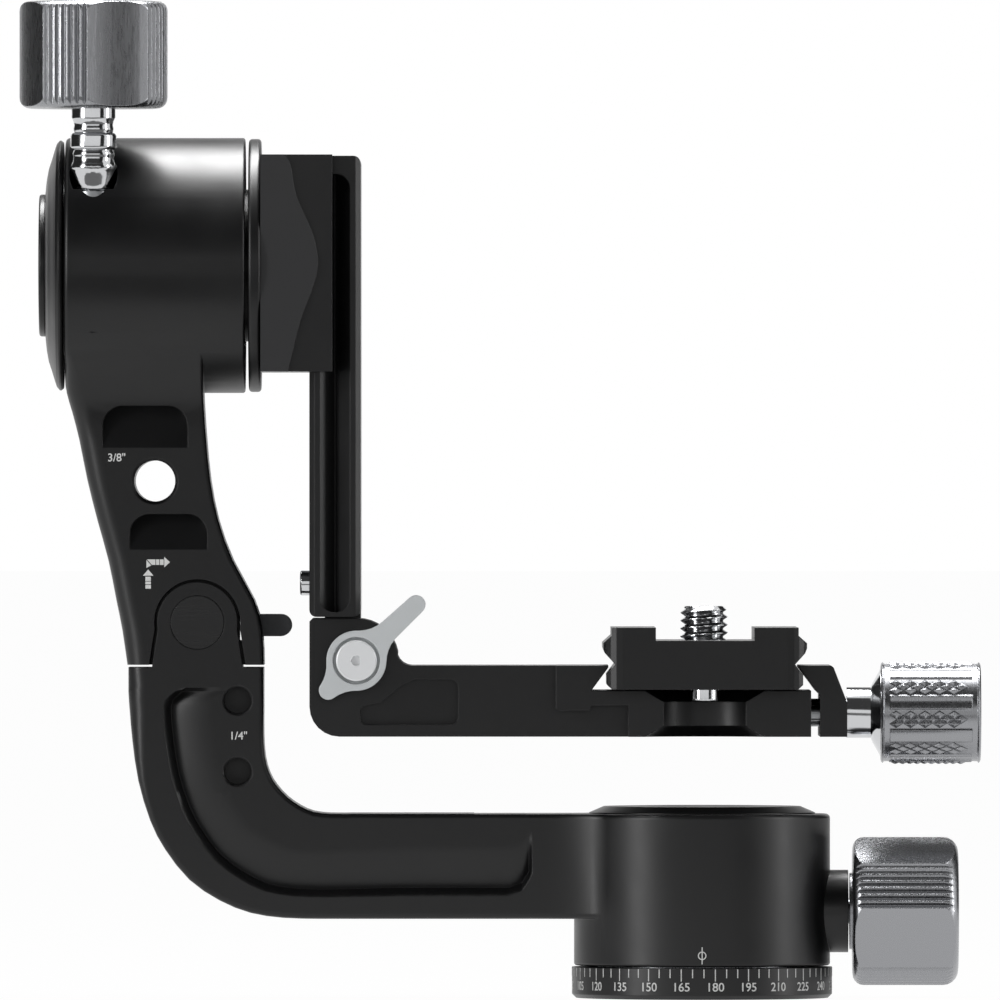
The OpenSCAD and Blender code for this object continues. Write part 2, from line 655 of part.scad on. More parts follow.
// Turned stem: three collars with waists between them, over a long screw
module tilt_lock_stem() color(chrome) translate([lock_x, -lock_y, 0]) {
    rotate_extrude() polygon(concat(
        [[0, tilt_z + 14.7], [3, tilt_z + 14.7], [3.5, tilt_z + 15.3]],
        [[4.2, tilt_z + 18.4], [4.6, tilt_z + 19.2], [4.6, tilt_z + 19.7]],
        [for (t = [0.25:0.25:0.75]) [4.6 - 0.55 * sin(180 * t), tilt_z + 19.7 + 3.2 * t]],
        arc(3.9, tilt_z + 23.6, 0.7, -90, 0, 3),
        arc(3.9, tilt_z + 25.6, 0.7, 0, 90, 3),
        [for (t = [0.25:0.25:0.75]) [4.4 - 0.5 * sin(180 * t), tilt_z + 26.3 + 3 * t]],
        [[4.4, tilt_z + 29.3], [4.4, stem_top], [0, stem_top]]
    ));
    translate([0, 0, tilt_z - 13]) cylinder(r = 2, h = 29);
}

knob_z = tilt_z + 31.1;
tilt_knob_turned = -68;
module tilt_lock_knob() color(silver) difference() {
    translate([lock_x, -lock_y, knob_z]) grooved_knob(knob_r, knob_h, tilt_knob_turned, 2.2, 2);
    translate([lock_x, -lock_y, knob_z - 1]) cylinder(r = 4.4, h = stem_top - knob_z + 1);
}

// ---- tilt shaft and swing clamp ----

module tilt_shaft() color(black) difference() {
    union() {
        toward_x([shaft_left, 0, tilt_z]) cylinder(r = shaft_r, h = flange_left - shaft_left + 1);
        toward_x([flange_left, 0, tilt_z]) puck(flange_r, flange_t, 0.7, 0.7);
    }
    toward_x([shaft_left - 1, 0, tilt_z]) cylinder(r = 3, h = 15);
    swing_bolt_places() cylinder(r = 2, h = 40, center = true);
}

module shaft_retainer() color(steel)
    toward_x([shaft_left - 1.4, 0, tilt_z]) tube(recess_r - 1.4, 3.1, 1.4);

module shaft_bolt() color(steel) {
    toward_x([shaft_left - 3, 0, tilt_z]) difference() {
        puck(5.4, 1.6, 0.5, 0.05);
        translate([0, 0, -1]) cylinder(r = 1.8, h = 1.8, $fn = 6);
    }
    toward_x([shaft_left - 1.4, 0, tilt_z]) cylinder(r = 3, h = 13);
}

bolt_circle = 9.6;
module swing_bolt_places()
    for (a = [45:90:315]) toward_x([clamp_left, 0, tilt_z])
        rotate(a) translate([bolt_circle, 0, 0]) children();

module swing_clamp_bolts() color(steel) swing_bolt_places() difference() {
    union() {
        translate([0, 0, rail_left - clamp_left - 4.6]) puck(3.6, 3.6, 0.05, 0.4);
        translate([0, 0, -10]) cylinder(r = 2, h = rail_left - clamp_left - 4.6 + 10);
    }
    translate([0, 0, rail_left - clamp_left - 3]) cylinder(r = 1.5, h = 4, $fn = 6);
}

// Room for the rail's dovetail seen from above, spread = clearance round the rail
module rail_channel(spread) let (
    back = rail_left - spread,
    neck = rail_mid + spread / 2,
    wide = rail_y + spread,
    narrow = rail_y - rail_v / 2 + spread
)
    polygon([
        [back, -wide], [neck - rail_v / 2, -wide], [neck, -narrow], [clamp_right + 1, -narrow],
        [clamp_right + 1, narrow], [neck, narrow], [neck - rail_v / 2, wide], [back, wide]
    ]);

groove_top = rail_z + rail_h - 3.6 - rail_v / 2;
// The clamp's bore round the rail: lips enter the V grooves and stop below their run-outs
module rail_bore() {
    translate([0, 0, clamp_z - 1]) linear_extrude(clamp_h + 2) rail_channel(clear / 2);
    translate([rail_left - clear / 2, -rail_y - clear / 2, groove_top - clear])
        cube([rail_t + 10, rail_w + clear, clamp_h]);
}

swing_front = -rail_y - jaw_t;
swing_split = rail_y - 7;
swing_back = rail_y + jaw_t;
swing_axis_x = (clamp_left + rail_left) / 2;

// The wavy step on the clamp's front face: everything right of the wave is cut back
wave = curve([
    [clamp_left + 3.1, clamp_h + 1], [clamp_left + 5.7, clamp_h - 1.3], [clamp_left + 7.1, clamp_h - 8.2],
    [clamp_left + 10.2, clamp_h - 15.3], [clamp_left + 11.4, clamp_h - 21.2],
    [clamp_left + 10.6, clamp_h - 26], [clamp_left + 7.9, clamp_h - 33.4], [clamp_left + 5.2, -1]
], 4);
module swing_clamp_body() color(black) difference() {
    translate([clamp_left, swing_front, clamp_z])
        cube([clamp_right - clamp_left, swing_split - swing_front, clamp_h]);
    side_slab(swing_front - 1, swing_front + 0.6) translate([0, clamp_z])
        polygon(concat(wave, [[clamp_right + 1, -1], [clamp_right + 1, clamp_h + 1]]));
    rail_bore();
    swing_bolt_places() {
        cylinder(r = 2, h = 20);
        translate([0, 0, rail_left - clamp_left - 4.6]) cylinder(r = 3.7, h = 20);
    }
    swing_screw_bore(2.5 + run, swing_front + 3);
    swing_pin_bores(1.5);
}
module swing_screw_bore(r, from)
    toward_y([swing_axis_x, from, tilt_z + 0.3]) cylinder(r = r, h = 100);
module swing_pin_bores(r)
    for (z = [-14, 14]) toward_y([swing_axis_x, swing_split - 14, tilt_z + 0.3 + z]) cylinder(r = r, h = 26);

module swing_clamp_jaw() color(black) difference() {
    translate([clamp_left, swing_split + 0.8, clamp_z])
        cube([clamp_right - clamp_left, swing_back - swing_split - 0.8, clamp_h]);
    rail_bore();
    swing_screw_bore(2.5 + run, swing_split);
    swing_pin_bores(1.5 + run);
}
module swing_guide_pins() color(steel)
    for (z = [-14, 14]) toward_y([swing_axis_x, swing_split - 14, tilt_z + 0.3 + z])
        cylinder(r = 1.5, h = swing_back - swing_split + 11);
module swing_clamp_screw() color(steel)
    toward_y([swing_axis_x, swing_front + 6, tilt_z + 0.3])
        cylinder(r = 2.5, h = swing_back - swing_front + 3);

// Round clamp knob: smooth hollows between bands that carry the knurling
module banded_knob(r, h) intersection() {
    puck(r, h, 1, 1);
    difference() {
        cylinder(r = r + 1, h = h);
        for (k = [0:8]) rotate(40 * k + 7.7) translate([r + 3.2, 0, 1.8]) cylinder(r = 3.7, h = h - 3.6);
    }
}
module swing_clamp_knob() color(silver) difference() {
    toward_y([swing_axis_x, swing_back + clear, tilt_z + 0.3]) union() {
        cylinder(r = 4.6, h = 3);
        translate([0, 0, 2.5]) banded_knob(clamp_knob_r, clamp_knob_h - 4);
    }
    toward_y([swing_axis_x, swing_back - 1, tilt_z + 0.3]) cylinder(r = 2.5, h = 10);
}

// ---- height rail ----

lug_r = 7;
lug_w = 9.9;
rail_chamfer = 1;
rail_end_round = 1.4;
module rail_bar() intersection() {
    translate([0, 0, rail_z]) linear_extrude(rail_h) polygon([
        [rail_left, -rail_y + rail_chamfer], [rail_left + rail_chamfer, -rail_y],
        [rail_right - rail_chamfer, -rail_y], [rail_right, -rail_y + rail_chamfer],
        [rail_right, rail_y - rail_chamfer], [rail_right - rail_chamfer, rail_y],
        [rail_left + rail_chamfer, rail_y], [rail_left, rail_y - rail_chamfer]
    ]);
    side_slab(-rail_y - 1, rail_y + 1) polygon(concat(
        arc(rail_right - rail_end_round, rail_z + rail_end_round, rail_end_round, -90, 0),
        arc(rail_right - rail_end_round, rail_z + rail_h - rail_end_round, rail_end_round, 0, 90),
        arc(rail_left + rail_end_round, rail_z + rail_h - rail_end_round, rail_end_round, 90, 180),
        arc(rail_left + rail_end_round, rail_z + rail_end_round, rail_end_round, 180, 270)
    ));
}
module height_rail() color(black) difference() {
    union() {
        rail_bar();
        side_slab(-lug_w, lug_w) {
            translate([fold_x, fold_z]) circle(lug_r);
            translate([fold_x - lug_r + 0.6, fold_z]) square([rail_right - fold_x + lug_r - 0.6, 10]);
        }
    }
    for (side = [-1, 1]) rail_groove(side);
    toward_y([fold_x, -20, fold_z]) cylinder(r = 3 + run, h = 40);
    toward_x([rail_left - 1, 0, rail_z + 6.7]) cylinder(r = 1.5, h = 7);
}

// V groove with rounded run-outs near the rail's ends
module rail_groove(side) intersection() {
    translate([0, 0, rail_z - 1]) linear_extrude(rail_h + 2) polygon([
        [rail_mid - rail_v / 2, side * rail_y], [rail_mid, side * (rail_y - rail_v / 2)],
        [rail_mid + rail_v / 2, side * rail_y], [rail_mid, side * (rail_y + 5)]
    ]);
    side_slab(-rail_y - 6, rail_y + 6) {
        for (z = [rail_z + 0.9 + rail_v / 2, groove_top])
            translate([rail_mid, z]) circle(rail_v / 2);
        translate([rail_mid - rail_v / 2, rail_z + 0.9 + rail_v / 2])
            square([rail_v, rail_h - 4.5 - rail_v]);
    }
}

module rail_stop_screw() color(chrome) {
    toward_x([rail_left - 2, 0, rail_z + 6.7]) puck(2.5, 2, 0.4, 0.05);
    toward_x([rail_left - 1, 0, rail_z + 6.7]) cylinder(r = 1.5, h = 6);
}

// ---- platform ----

block_left = rail_left;
arm_end = clamp_end_x;
module platform_outline() polygon(concat(
    [[block_left, fold_z + knuckle_r - 0.6], [block_left + 0.6, fold_z + knuckle_r]],
    arc(fold_x, fold_z, knuckle_r, 90, 12, 8),
    arc(fold_x + knuckle_r + 2.6, platform_top + 3, 3, 200, 270, 4),
    [[fixed_lip_x - 8, platform_top], [fixed_lip_x - 8, platform_bottom]],
    arc(block_left + 6, platform_bottom + 6, 6, 270, 180, 6)
));
// The wide fixed jaw and the clamp's bed, side view
jaw_left = fixed_lip_x - 10.4;
module fixed_jaw_outline()
    polygon([
        [jaw_left, platform_bottom + 5.6], [jaw_left, platform_top], [fixed_lip_x, platform_top],
        [fixed_lip_x, platform_top - 0.4], [fixed_lip_x - 3.4, shelf_z], [fixed_lip_x + 5, shelf_z],
        [fixed_lip_x + 5, platform_bottom + 6.3], [fixed_lip_x - 3.4, platform_bottom + 6.3],
        [fixed_lip_x - 3.8, platform_bottom + 5.3], [jaw_left + 3, platform_bottom + 5.3],
        [jaw_left + 0.8, platform_bottom + 5.2]
    ]);
module bed_outline()
    polygon([
        [fixed_lip_x - 9, platform_bottom], [arm_end, platform_bottom], [arm_end, shelf_z],
        [fixed_lip_x - 4, shelf_z], [fixed_lip_x - 9, platform_top - 3]
    ]);

module platform_arm() color(black) difference() {
    union() {
        side_slab(-platform_w, platform_w) platform_outline();
        side_slab(-jaw_w, jaw_w) fixed_jaw_outline();
        difference() {
            side_slab(-jaw_w, jaw_w) bed_outline();
            for (side = [-1, 1])
                translate([fixed_lip_x - 10, side < 0 ? -jaw_w - 1 : platform_w, platform_bottom - 1])
                    cube([14, jaw_w - platform_w + 1, 7.3]);
        }
    }
    // room for the rail's lug
    side_slab(-lug_w - 0.2, lug_w + 0.2) {
        translate([fold_x, fold_z]) circle(lug_r + 0.6);
        translate([fold_x - lug_r - 0.1, fold_z]) square([lug_r + 0.1, 12]);
        translate([fold_x, platform_top]) square([14, 12]);
    }
    toward_y([fold_x, -20, fold_z]) cylinder(r = 3 + run, h = 40);
    toward_y([fold_x, platform_w - 3, fold_z]) cylinder(r = 5.6, h = 5);
    for (side = [-1, 1]) arm_pocket(side);
    for (side = [-1, 1]) scallop(side);
    for (y = guide_y) toward_x([arm_end - 16, y, clamp_axis_z]) cylinder(r = 1.5, h = 20);
    toward_x([arm_end - 24, 0, clamp_axis_z]) cylinder(r = 2.8 + run, h = 30);
}

module arm_pocket(side)
    side_slab(side < 0 ? -platform_w - 1 : platform_w - 2.2, side < 0 ? -platform_w + 2.2 : platform_w + 1)
        polygon(concat(
            [[block_left + 10.1, platform_bottom + 5.4]],
            [[block_left + 11, platform_bottom + 6.2], [block_left + 14.2, platform_bottom + 6.8]],
            [[block_left + 18.2, platform_top - 4], [block_left + 21, platform_top - 2.7]],
            arc(-50.3, platform_top - 4.4, 1.6, 90, 0, 3), arc(-50.3, platform_bottom + 4, 1.6, 0, -90, 3),
            arc(block_left + 11.3, platform_bottom + 3.6, 1.2, -90, -180, 3)
        ));

scallop_r = 9.4;
module scallop(side) translate([plate_x, side * (jaw_w + 4.6), platform_bottom]) {
    translate([0, 0, -1]) cylinder(r = scallop_r, h = 12);
    translate([0, 0, -0.01]) cylinder(r1 = scallop_r + 3.4, r2 = scallop_r, h = 2.2);
    translate([0, 0, 9.2 - 2.2]) cylinder(r1 = scallop_r, r2 = scallop_r + 3.4, h = 2.21);
}

module fold_bolt() color(steel)
    toward_y([fold_x, lever_front + 1.4, fold_z]) cylinder(r = 3, h = platform_w - 0.5 - lever_front - 1.4);
module fold_nut() color(steel) toward_y([fold_x, platform_w - 2.9, fold_z]) difference() {
    cylinder(r = 5.4, h = 2.4, $fn = 6);
    translate([0, 0, -1]) cylinder(r = 3, h = 5);
}

// Clamping lever: a round hub with a long and a short finger, held in front of the rail
lever_front = -rail_y - clear - 3.4;
lever_t = 3;
lever_screw_r = 4.1;
lever_hub_r = 6;
lever_hollow = 7;
module finger(reach_x, reach_z, tip, root)
    hull() {
        translate([fold_x + reach_x, fold_z + reach_z]) circle(tip, $fn = 24);
        translate([fold_x, fold_z]) circle(root, $fn = 24);
    }
// Hub and fingers flow into each other through hollow curves
module lever_outline() offset(r = -lever_hollow, $fn = 36) offset(r = lever_hollow, $fn = 36) {
    translate([fold_x, fold_z]) circle(lever_hub_r);
    finger(11.9, 11.2, 1.9, 2.4);
    finger(-5.6, -5.9, 1.9, 1.9);
}
module platform_lever() color(light_grey) difference() {
    union() {
        toward_y([fold_x, lever_front + 1, fold_z])
            cylinder(r = 5.6, h = -platform_w - 0.2 - lever_front - 1);
        side_slab(lever_front, lever_front + lever_t) lever_outline();
    }
    toward_y([fold_x, lever_front - 1, fold_z]) cylinder(r = 4.7, h = 2.4);
    toward_y([fold_x, lever_front - 1, fold_z]) cylinder(r = 3 + run, h = 20);
}
module lever_screw() color(chrome) toward_y([fold_x, lever_front - 0.2, fold_z]) difference() {
    puck(lever_screw_r, 1.55, 0.4, 0.05);
    translate([0, 0, -1]) cylinder(r = 1.1, h = 1.9, $fn = 6);
}

// ---- platform clamp ----

lip_z = platform_top;
module clamp_jaw() color(black) difference() {
    side_slab(-jaw_w, jaw_w) polygon([
        [jaw_x, platform_bottom], [jaw_out, platform_bottom], [jaw_out, platform_bottom + 6.8],
        [jaw_out - 2.7, lip_z - 0.4], [jaw_out - 3.2, lip_z], [moving_lip_x, lip_z],
        [moving_lip_x, lip_z - 0.4], [moving_lip_x + 3.4, shelf_z], [jaw_x, shelf_z - 0.8]
    ]);
    toward_x([jaw_x - 1, 0, clamp_axis_z]) cylinder(r = 2.8 + run, h = 10);
    for (y = guide_y) toward_x([jaw_x - 1, y, clamp_axis_z]) cylinder(r = 1.5 + run, h = 10);
}
module clamp_guide_pins() color(steel)
    for (y = guide_y) toward_x([arm_end - 15, y, clamp_axis_z])
        cylinder(r = 1.5, h = jaw_out - arm_end + 14.6);

module clamp_screw() color(steel)
    toward_x([arm_end - 22, 0, clamp_axis_z]) cylinder(r = 2.8, h = jaw_out - arm_end + 31);
module clamp_knob_neck() color(chrome)
    toward_x([jaw_out + 0.1, 0, clamp_axis_z]) difference() {
        rotate_extrude()
            polygon([[0, 0], [5.1, 0], [5.1, 4.8], [6, 5.2], [clamp_knob_r - 1.4, 6.8], [0, 6.8]]);
        translate([0, 0, -1]) cylinder(r = 2.8, h = 20);
    }
module clamp_knob() color(silver)
    toward_x([jaw_out + 6.9, 0, clamp_axis_z]) difference() {
        rotate(90) banded_knob(clamp_knob_r, clamp_knob_h);
        translate([0, 0, -1]) cylinder(r = 2.8, h = 4);
    }

// ---- quick plate ----

module quick_plate() color(black) difference() {
    intersection() {
        side_slab(-plate_l / 2, plate_l / 2) plate_outline();
        translate([plate_x, 0, 0]) linear_extrude(2 * seat_z) plate_corners();
    }
    translate([plate_x, 0, plate_z - 1]) cylinder(r = screw_r + run, h = 20);
    translate([plate_x, 0, plate_z - 1]) cylinder(r = 8.5, h = 5);
    for (side = [-1, 1])
        translate([plate_x, side * (plate_l / 2 - 5), plate_z - 1]) cylinder(r = 1.5, h = 5);
}
half_tail = dovetail_w / 2;
module plate_outline() translate([plate_x, plate_z]) polygon([
    [-half_tail + 1, 0], [half_tail - 1, 0], [half_tail, 0.9], [half_tail, 2.9], [half_tail - 1.6, 5],
    [half_tail + 0.4, 7.2], [half_tail + 0.8, 8.2], [half_tail + 0.8, 9.2], [half_tail - 0.9, 10.7],
    [half_tail - 0.9, plate_h + 2.6], [half_tail - 9.7, plate_h + 2.6], [half_tail - 9.7, plate_h],
    [-half_tail + 9.7, plate_h], [-half_tail + 9.7, plate_h + 2.6], [-half_tail + 0.9, plate_h + 2.6],
    [-half_tail + 0.9, 10.7], [-half_tail - 0.8, 9.2], [-half_tail - 0.8, 8.2], [-half_tail - 0.4, 7.2],
    [-half_tail + 1.6, 5], [-half_tail, 2.9], [-half_tail, 0.9]
]);
// Seen from above the plate's corners are rounded
corner = 4;
module plate_corners() let (a = half_tail + 0.9 - corner, b = plate_l / 2 - corner)
    polygon(concat(
        arc(a, b, corner, 0, 90), arc(-a, b, corner, 90, 180),
        arc(-a, -b, corner, 180, 270), arc(a, -b, corner, 270, 360)
    ));

module plate_stop_pins() color(chrome)
    for (side = [-1, 1]) translate([plate_x, side * (plate_l / 2 - 5), 0]) {
        translate([0, 0, plate_z - 2.3]) puck(2.65, 2.3, 0.4, 0.05);
        translate([0, 0, plate_z - 1]) cylinder(r = 1.5, h = 4);
    }

module camera_screw() color(chrome) difference() {
    union() {
        translate([plate_x, 0, plate_z]) cylinder(r = screw_r - 0.9, h = plate_h + 1);
        translate([plate_x, 0, seat_z]) cylinder(r = screw_r, h = screw_h - 0.9);
        translate([plate_x, 0, seat_z + screw_h - 0.9]) cylinder(r1 = screw_r, r2 = screw_r - 0.9, h = 0.9);
        translate([plate_x, 0, plate_z + 0.6]) puck(8.2, 3.2, 0.3, 0.3);
    }
    translate([plate_x - 9, -1, plate_z - 1]) cube([18, 2, 2.8]);
}

pan_base();
pan_spindle();
tripod_bush();
base_screws();
spindle_retainer();
retainer_screw();
lower_arm();
lower_arm_post();
pan_bushes();
thrust_washer();
pan_top_cap();
fold_pin();
pan_lock_collar();
pan_brake_pad();
pan_lock_stud();
pan_lock_knob();
upper_arm();
tilt_bearings();
tilt_cover();
tilt_axis_cap();
lower_brake_shoe();
latch_pivot_pin();
fold_latch();
upper_brake_shoe();
tilt_lock_stem();
tilt_lock_knob();
tilt_shaft();
shaft_retainer();
shaft_bolt();
swing_clamp_body();
swing_clamp_bolts();
swing_clamp_jaw();
swing_guide_pins();
swing_clamp_screw();
swing_clamp_knob();
height_rail();
rail_stop_screw();
platform_arm();
fold_bolt();
fold_nut();
platform_lever();
lever_screw();
clamp_jaw();
clamp_guide_pins();
clamp_screw();
clamp_knob_neck();
clamp_knob();
quick_plate();
plate_stop_pins();
camera_screw();
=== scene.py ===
"""Looks of a folding gimbal tripod head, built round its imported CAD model.

Metres, in the CAD's own frame: +X from the arms to the pan head, +Y away from the front, +Z up.
Sizes are written in millimetres times MM.
"""

import json
import math

import bmesh
import bpy
from mathutils import Matrix, Vector

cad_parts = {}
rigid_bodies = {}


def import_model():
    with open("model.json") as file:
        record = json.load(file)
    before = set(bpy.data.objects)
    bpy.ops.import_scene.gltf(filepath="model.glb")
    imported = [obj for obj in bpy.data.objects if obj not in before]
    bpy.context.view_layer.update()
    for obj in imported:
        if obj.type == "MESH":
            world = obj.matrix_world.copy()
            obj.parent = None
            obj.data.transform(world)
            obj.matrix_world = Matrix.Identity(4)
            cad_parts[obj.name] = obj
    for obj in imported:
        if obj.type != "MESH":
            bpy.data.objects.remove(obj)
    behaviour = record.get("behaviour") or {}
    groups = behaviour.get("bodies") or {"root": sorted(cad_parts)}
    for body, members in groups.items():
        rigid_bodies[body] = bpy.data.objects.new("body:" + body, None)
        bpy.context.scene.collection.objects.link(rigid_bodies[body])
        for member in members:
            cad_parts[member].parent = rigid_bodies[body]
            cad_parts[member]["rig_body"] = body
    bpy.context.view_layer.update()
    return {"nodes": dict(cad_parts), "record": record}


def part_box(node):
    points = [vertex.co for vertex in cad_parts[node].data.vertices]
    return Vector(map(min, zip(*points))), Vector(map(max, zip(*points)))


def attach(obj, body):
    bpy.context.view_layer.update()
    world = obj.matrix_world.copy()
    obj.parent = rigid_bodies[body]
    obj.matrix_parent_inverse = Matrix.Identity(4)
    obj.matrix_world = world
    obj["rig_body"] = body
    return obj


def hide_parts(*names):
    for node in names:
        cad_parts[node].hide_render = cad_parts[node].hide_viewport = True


MM = 0.001

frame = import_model()
nodes = frame["nodes"]


# ---- small helpers ----


def body_carrying(node):
    """The name of the CAD body that a node rides on."""
    return nodes[node]["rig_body"]


def colour(code):
    """A linear RGBA colour from an sRGB hex value."""
    parts = [int(code[i : i + 2], 16) / 255 for i in (1, 3, 5)]
    return [c / 12.92 if c <= 0.04045 else ((c + 0.055) / 1.055) ** 2.4 for c in parts] + [1]


def add(tree, kind, settings=None, inputs=None, links=None):
    """Adds a node, with its settings, its inputs' values and the sockets that feed its inputs."""
    made = tree.nodes.new(kind)
    for name, value in (settings or {}).items():
        setattr(made, name, value)
    for name, value in (inputs or {}).items():
        made.inputs[name].default_value = value
    for name, source in (links or {}).items():
        tree.links.new(source, made.inputs[name])
    return made


def calculate(tree, operation, a, b):
    """The output of a Math node; a and b are sockets or numbers."""
    links = {i: v for i, v in enumerate((a, b)) if isinstance(v, bpy.types.NodeSocket)}
    values = {i: v for i, v in enumerate((a, b)) if not isinstance(v, bpy.types.NodeSocket)}
    return add(tree, "ShaderNodeMath", {"operation": operation}, values, links).outputs[0]


# ---- materials ----

EDGE_ROUND = 0.3 * MM  # a deburred edge on machined aluminium


def start_material(name, values):
    """A material with one Principled shader and the constants set on its own sockets."""
    made = bpy.data.materials.new(name)
    made.use_nodes = True
    tree = made.node_tree
    tree.nodes.clear()
    shader = add(tree, "ShaderNodeBsdfPrincipled", inputs=values)
    add(tree, "ShaderNodeOutputMaterial", links={"Surface": shader.outputs[0]})
    return made, tree, shader


def relief(tree, shader, height, depth, edge=EDGE_ROUND):
    """Feeds the shader's normal: softly broken edges, with a fine relief of that depth on top."""
    rounded = add(tree, "ShaderNodeBevel", {"samples": 4}, {"Radius": edge})
    bumped = add(
        tree,
        "ShaderNodeBump",
        inputs={"Strength": 1, "Distance": depth},
        links={"Height": height, "Normal": rounded.outputs[0]},
    )
    tree.links.new(bumped.outputs[0], shader.inputs["Normal"])


def grain(tree, size, stretch=(1, 1, 1), detail=2):
    """Noise on Object coordinates, whose grains have that real size, drawn out by stretch."""
    place = add(tree, "ShaderNodeTexCoord")
    drawn = add(
        tree,
        "ShaderNodeMapping",
        inputs={"Scale": stretch},
        links={"Vector": place.outputs["Object"]},
    )
    made = add(
        tree,
        "ShaderNodeTexNoise",
        inputs={"Scale": 1 / size, "Detail": detail},
        links={"Vector": drawn.outputs[0]},
    )
    return made.outputs["Fac"]


def spread(tree, source, low, high):
    """Maps noise from its usual 0.3 to 0.7 onto low to high."""
    made = add(
        tree,
        "ShaderNodeMapRange",
        inputs={"From Min": 0.3, "From Max": 0.7, "To Min": low, "To Max": high},
        links={"Value": source},
    )
    return made.outputs[0]


def black_anodised_aluminium():
    """Bead-blasted, then dyed black: near-black faces with a soft, wide sheen."""
    made, tree, shader = start_material(
        "black_anodised_aluminium",
        {"Base Color": colour("#0c0c0d"), "IOR": 1.5, "Specular IOR Level": 0.4},
    )
    # bead blasting leaves 0.1 mm pits, drawn here at 0.35 mm so that they show
    pits = grain(tree, 0.35 * MM)
    patches = grain(tree, 9 * MM)
    tree.links.new(spread(tree, patches, 0.34, 0.4), shader.inputs["Roughness"])
    relief(tree, shader, pits, 0.006 * MM)
    return made


def black_turned_aluminium():
    """Turned, then dyed black: faint circular tool lines give a slightly brighter, tighter sheen."""
    made, tree, shader = start_material(
        "black_turned_aluminium",
        {"Base Color": colour("#0c0c0d"), "IOR": 1.5, "Specular IOR Level": 0.45},
    )
    # tool lines 0.05 mm apart, drawn at 0.4 mm
    lines = grain(tree, 0.4 * MM, stretch=(0.04, 0.04, 1))
    tree.links.new(spread(tree, lines, 0.26, 0.33), shader.inputs["Roughness"])
    relief(tree, shader, lines, 0.002 * MM)
    return made


def satin_nickel():
    """Knobs of satin-nickel-plated aluminium: grey silver with soft bands of light along their sides."""
    made, tree, shader = start_material(
        "satin_nickel",
        {"Base Color": colour("#98999c"), "Metallic": 1, "Anisotropic": 0.3},
    )
    # brushing strokes 0.1 mm wide, drawn at 0.3 mm
    strokes = grain(tree, 0.3 * MM, stretch=(1, 1, 0.1))
    tree.links.new(spread(tree, strokes, 0.24, 0.32), shader.inputs["Roughness"])
    relief(tree, shader, strokes, 0.002 * MM)
    return made


def polished_chrome():
    """Chrome plate on turned steel: hard, dark-and-bright reflections."""
    made, tree, shader = start_material(
        "polished_chrome",
        {"Base Color": colour("#c9cacc"), "Metallic": 1},
    )
    smears = grain(tree, 3 * MM)
    tree.links.new(spread(tree, smears, 0.07, 0.13), shader.inputs["Roughness"])
    relief(tree, shader, smears, 0.002 * MM, edge=0.15 * MM)
    return made


def cast_lever_metal():
    """Fine-blasted zinc casting under a pale satin plating: light grey without hard reflections."""
    made, tree, shader = start_material(
        "cast_lever_metal",
        {"Base Color": colour("#c9cccd"), "Metallic": 0.2},
    )
    grit = grain(tree, 0.3 * MM)
    tree.links.new(spread(tree, grit, 0.4, 0.48), shader.inputs["Roughness"])
    relief(tree, shader, grit, 0.004 * MM)
    return made


def textured_grey_coat():
    """Textured coat of the fold latch: charcoal, with a coarse grain that scatters the light."""
    made, tree, shader = start_material(
        "textured_grey_coat",
        {"Base Color": colour("#2a2b2d"), "IOR": 1.53, "Specular IOR Level": 0.4},
    )
    grit = grain(tree, 0.45 * MM)
    tree.links.new(spread(tree, grit, 0.5, 0.62), shader.inputs["Roughness"])
    relief(tree, shader, grit, 0.03 * MM)
    return made


def zinc_plated_steel():
    """Fasteners and shafts: blue-grey plating, duller than chrome."""
    made, tree, shader = start_material(
        "zinc_plated_steel",
        {"Base Color": colour("#9a9c9e"), "Metallic": 1},
    )
    bloom = grain(tree, 2 * MM)
    tree.links.new(spread(tree, bloom, 0.28, 0.4), shader.inputs["Roughness"])
    relief(tree, shader, bloom, 0.002 * MM, edge=0.15 * MM)
    return made


def bearing_bronze():
    """Sintered bronze bushes: warm brown-gold with an oiled, open grain."""
    made, tree, shader = start_material(
        "bearing_bronze",
        {"Base Color": colour("#9c7440"), "Metallic": 1},
    )
    pores = grain(tree, 0.25 * MM)
    tree.links.new(spread(tree, pores, 0.35, 0.5), shader.inputs["Roughness"])
    relief(tree, shader, pores, 0.005 * MM)
    return made


def brake_nylon():
    """The pan brake's pad: dark grey moulded nylon, waxy and matt."""
    made, tree, shader = start_material(
        "brake_nylon",
        {"Base Color": colour("#3a3b3d"), "IOR": 1.53},
    )
    bloom = grain(tree, 1.5 * MM)
    tree.links.new(spread(tree, bloom, 0.45, 0.6), shader.inputs["Roughness"])
    relief(tree, shader, bloom, 0.003 * MM)
    return made


def grey_satin_anodising():
    """The clamp's front step: the same black anodising painted a shade lighter, a painted highlight for the
    light on the raised face.
    """
    made, tree, shader = start_material(
        "grey_satin_anodising",
        {"Base Color": colour("#2b2b2c"), "IOR": 1.5, "Specular IOR Level": 0.4},
    )
    pits = grain(tree, 0.35 * MM)
    patches = grain(tree, 6 * MM)
    tree.links.new(spread(tree, patches, 0.4, 0.46), shader.inputs["Roughness"])
    relief(tree, shader, pits, 0.003 * MM)
    return made


def bright_plated_screw():
    """The lever screw's head: plated metal given a nearly white, mostly non-metallic colour, a painted
    reflection that keeps it bright.
    """
    made, tree, shader = start_material(
        "bright_plated_screw",
        {"Base Color": colour("#e9eaeb"), "Metallic": 0.35},
    )
    bloom = grain(tree, 1.2 * MM)
    tree.links.new(spread(tree, bloom, 0.3, 0.38), shader.inputs["Roughness"])
    relief(tree, shader, bloom, 0.002 * MM, edge=0.15 * MM)
    return made


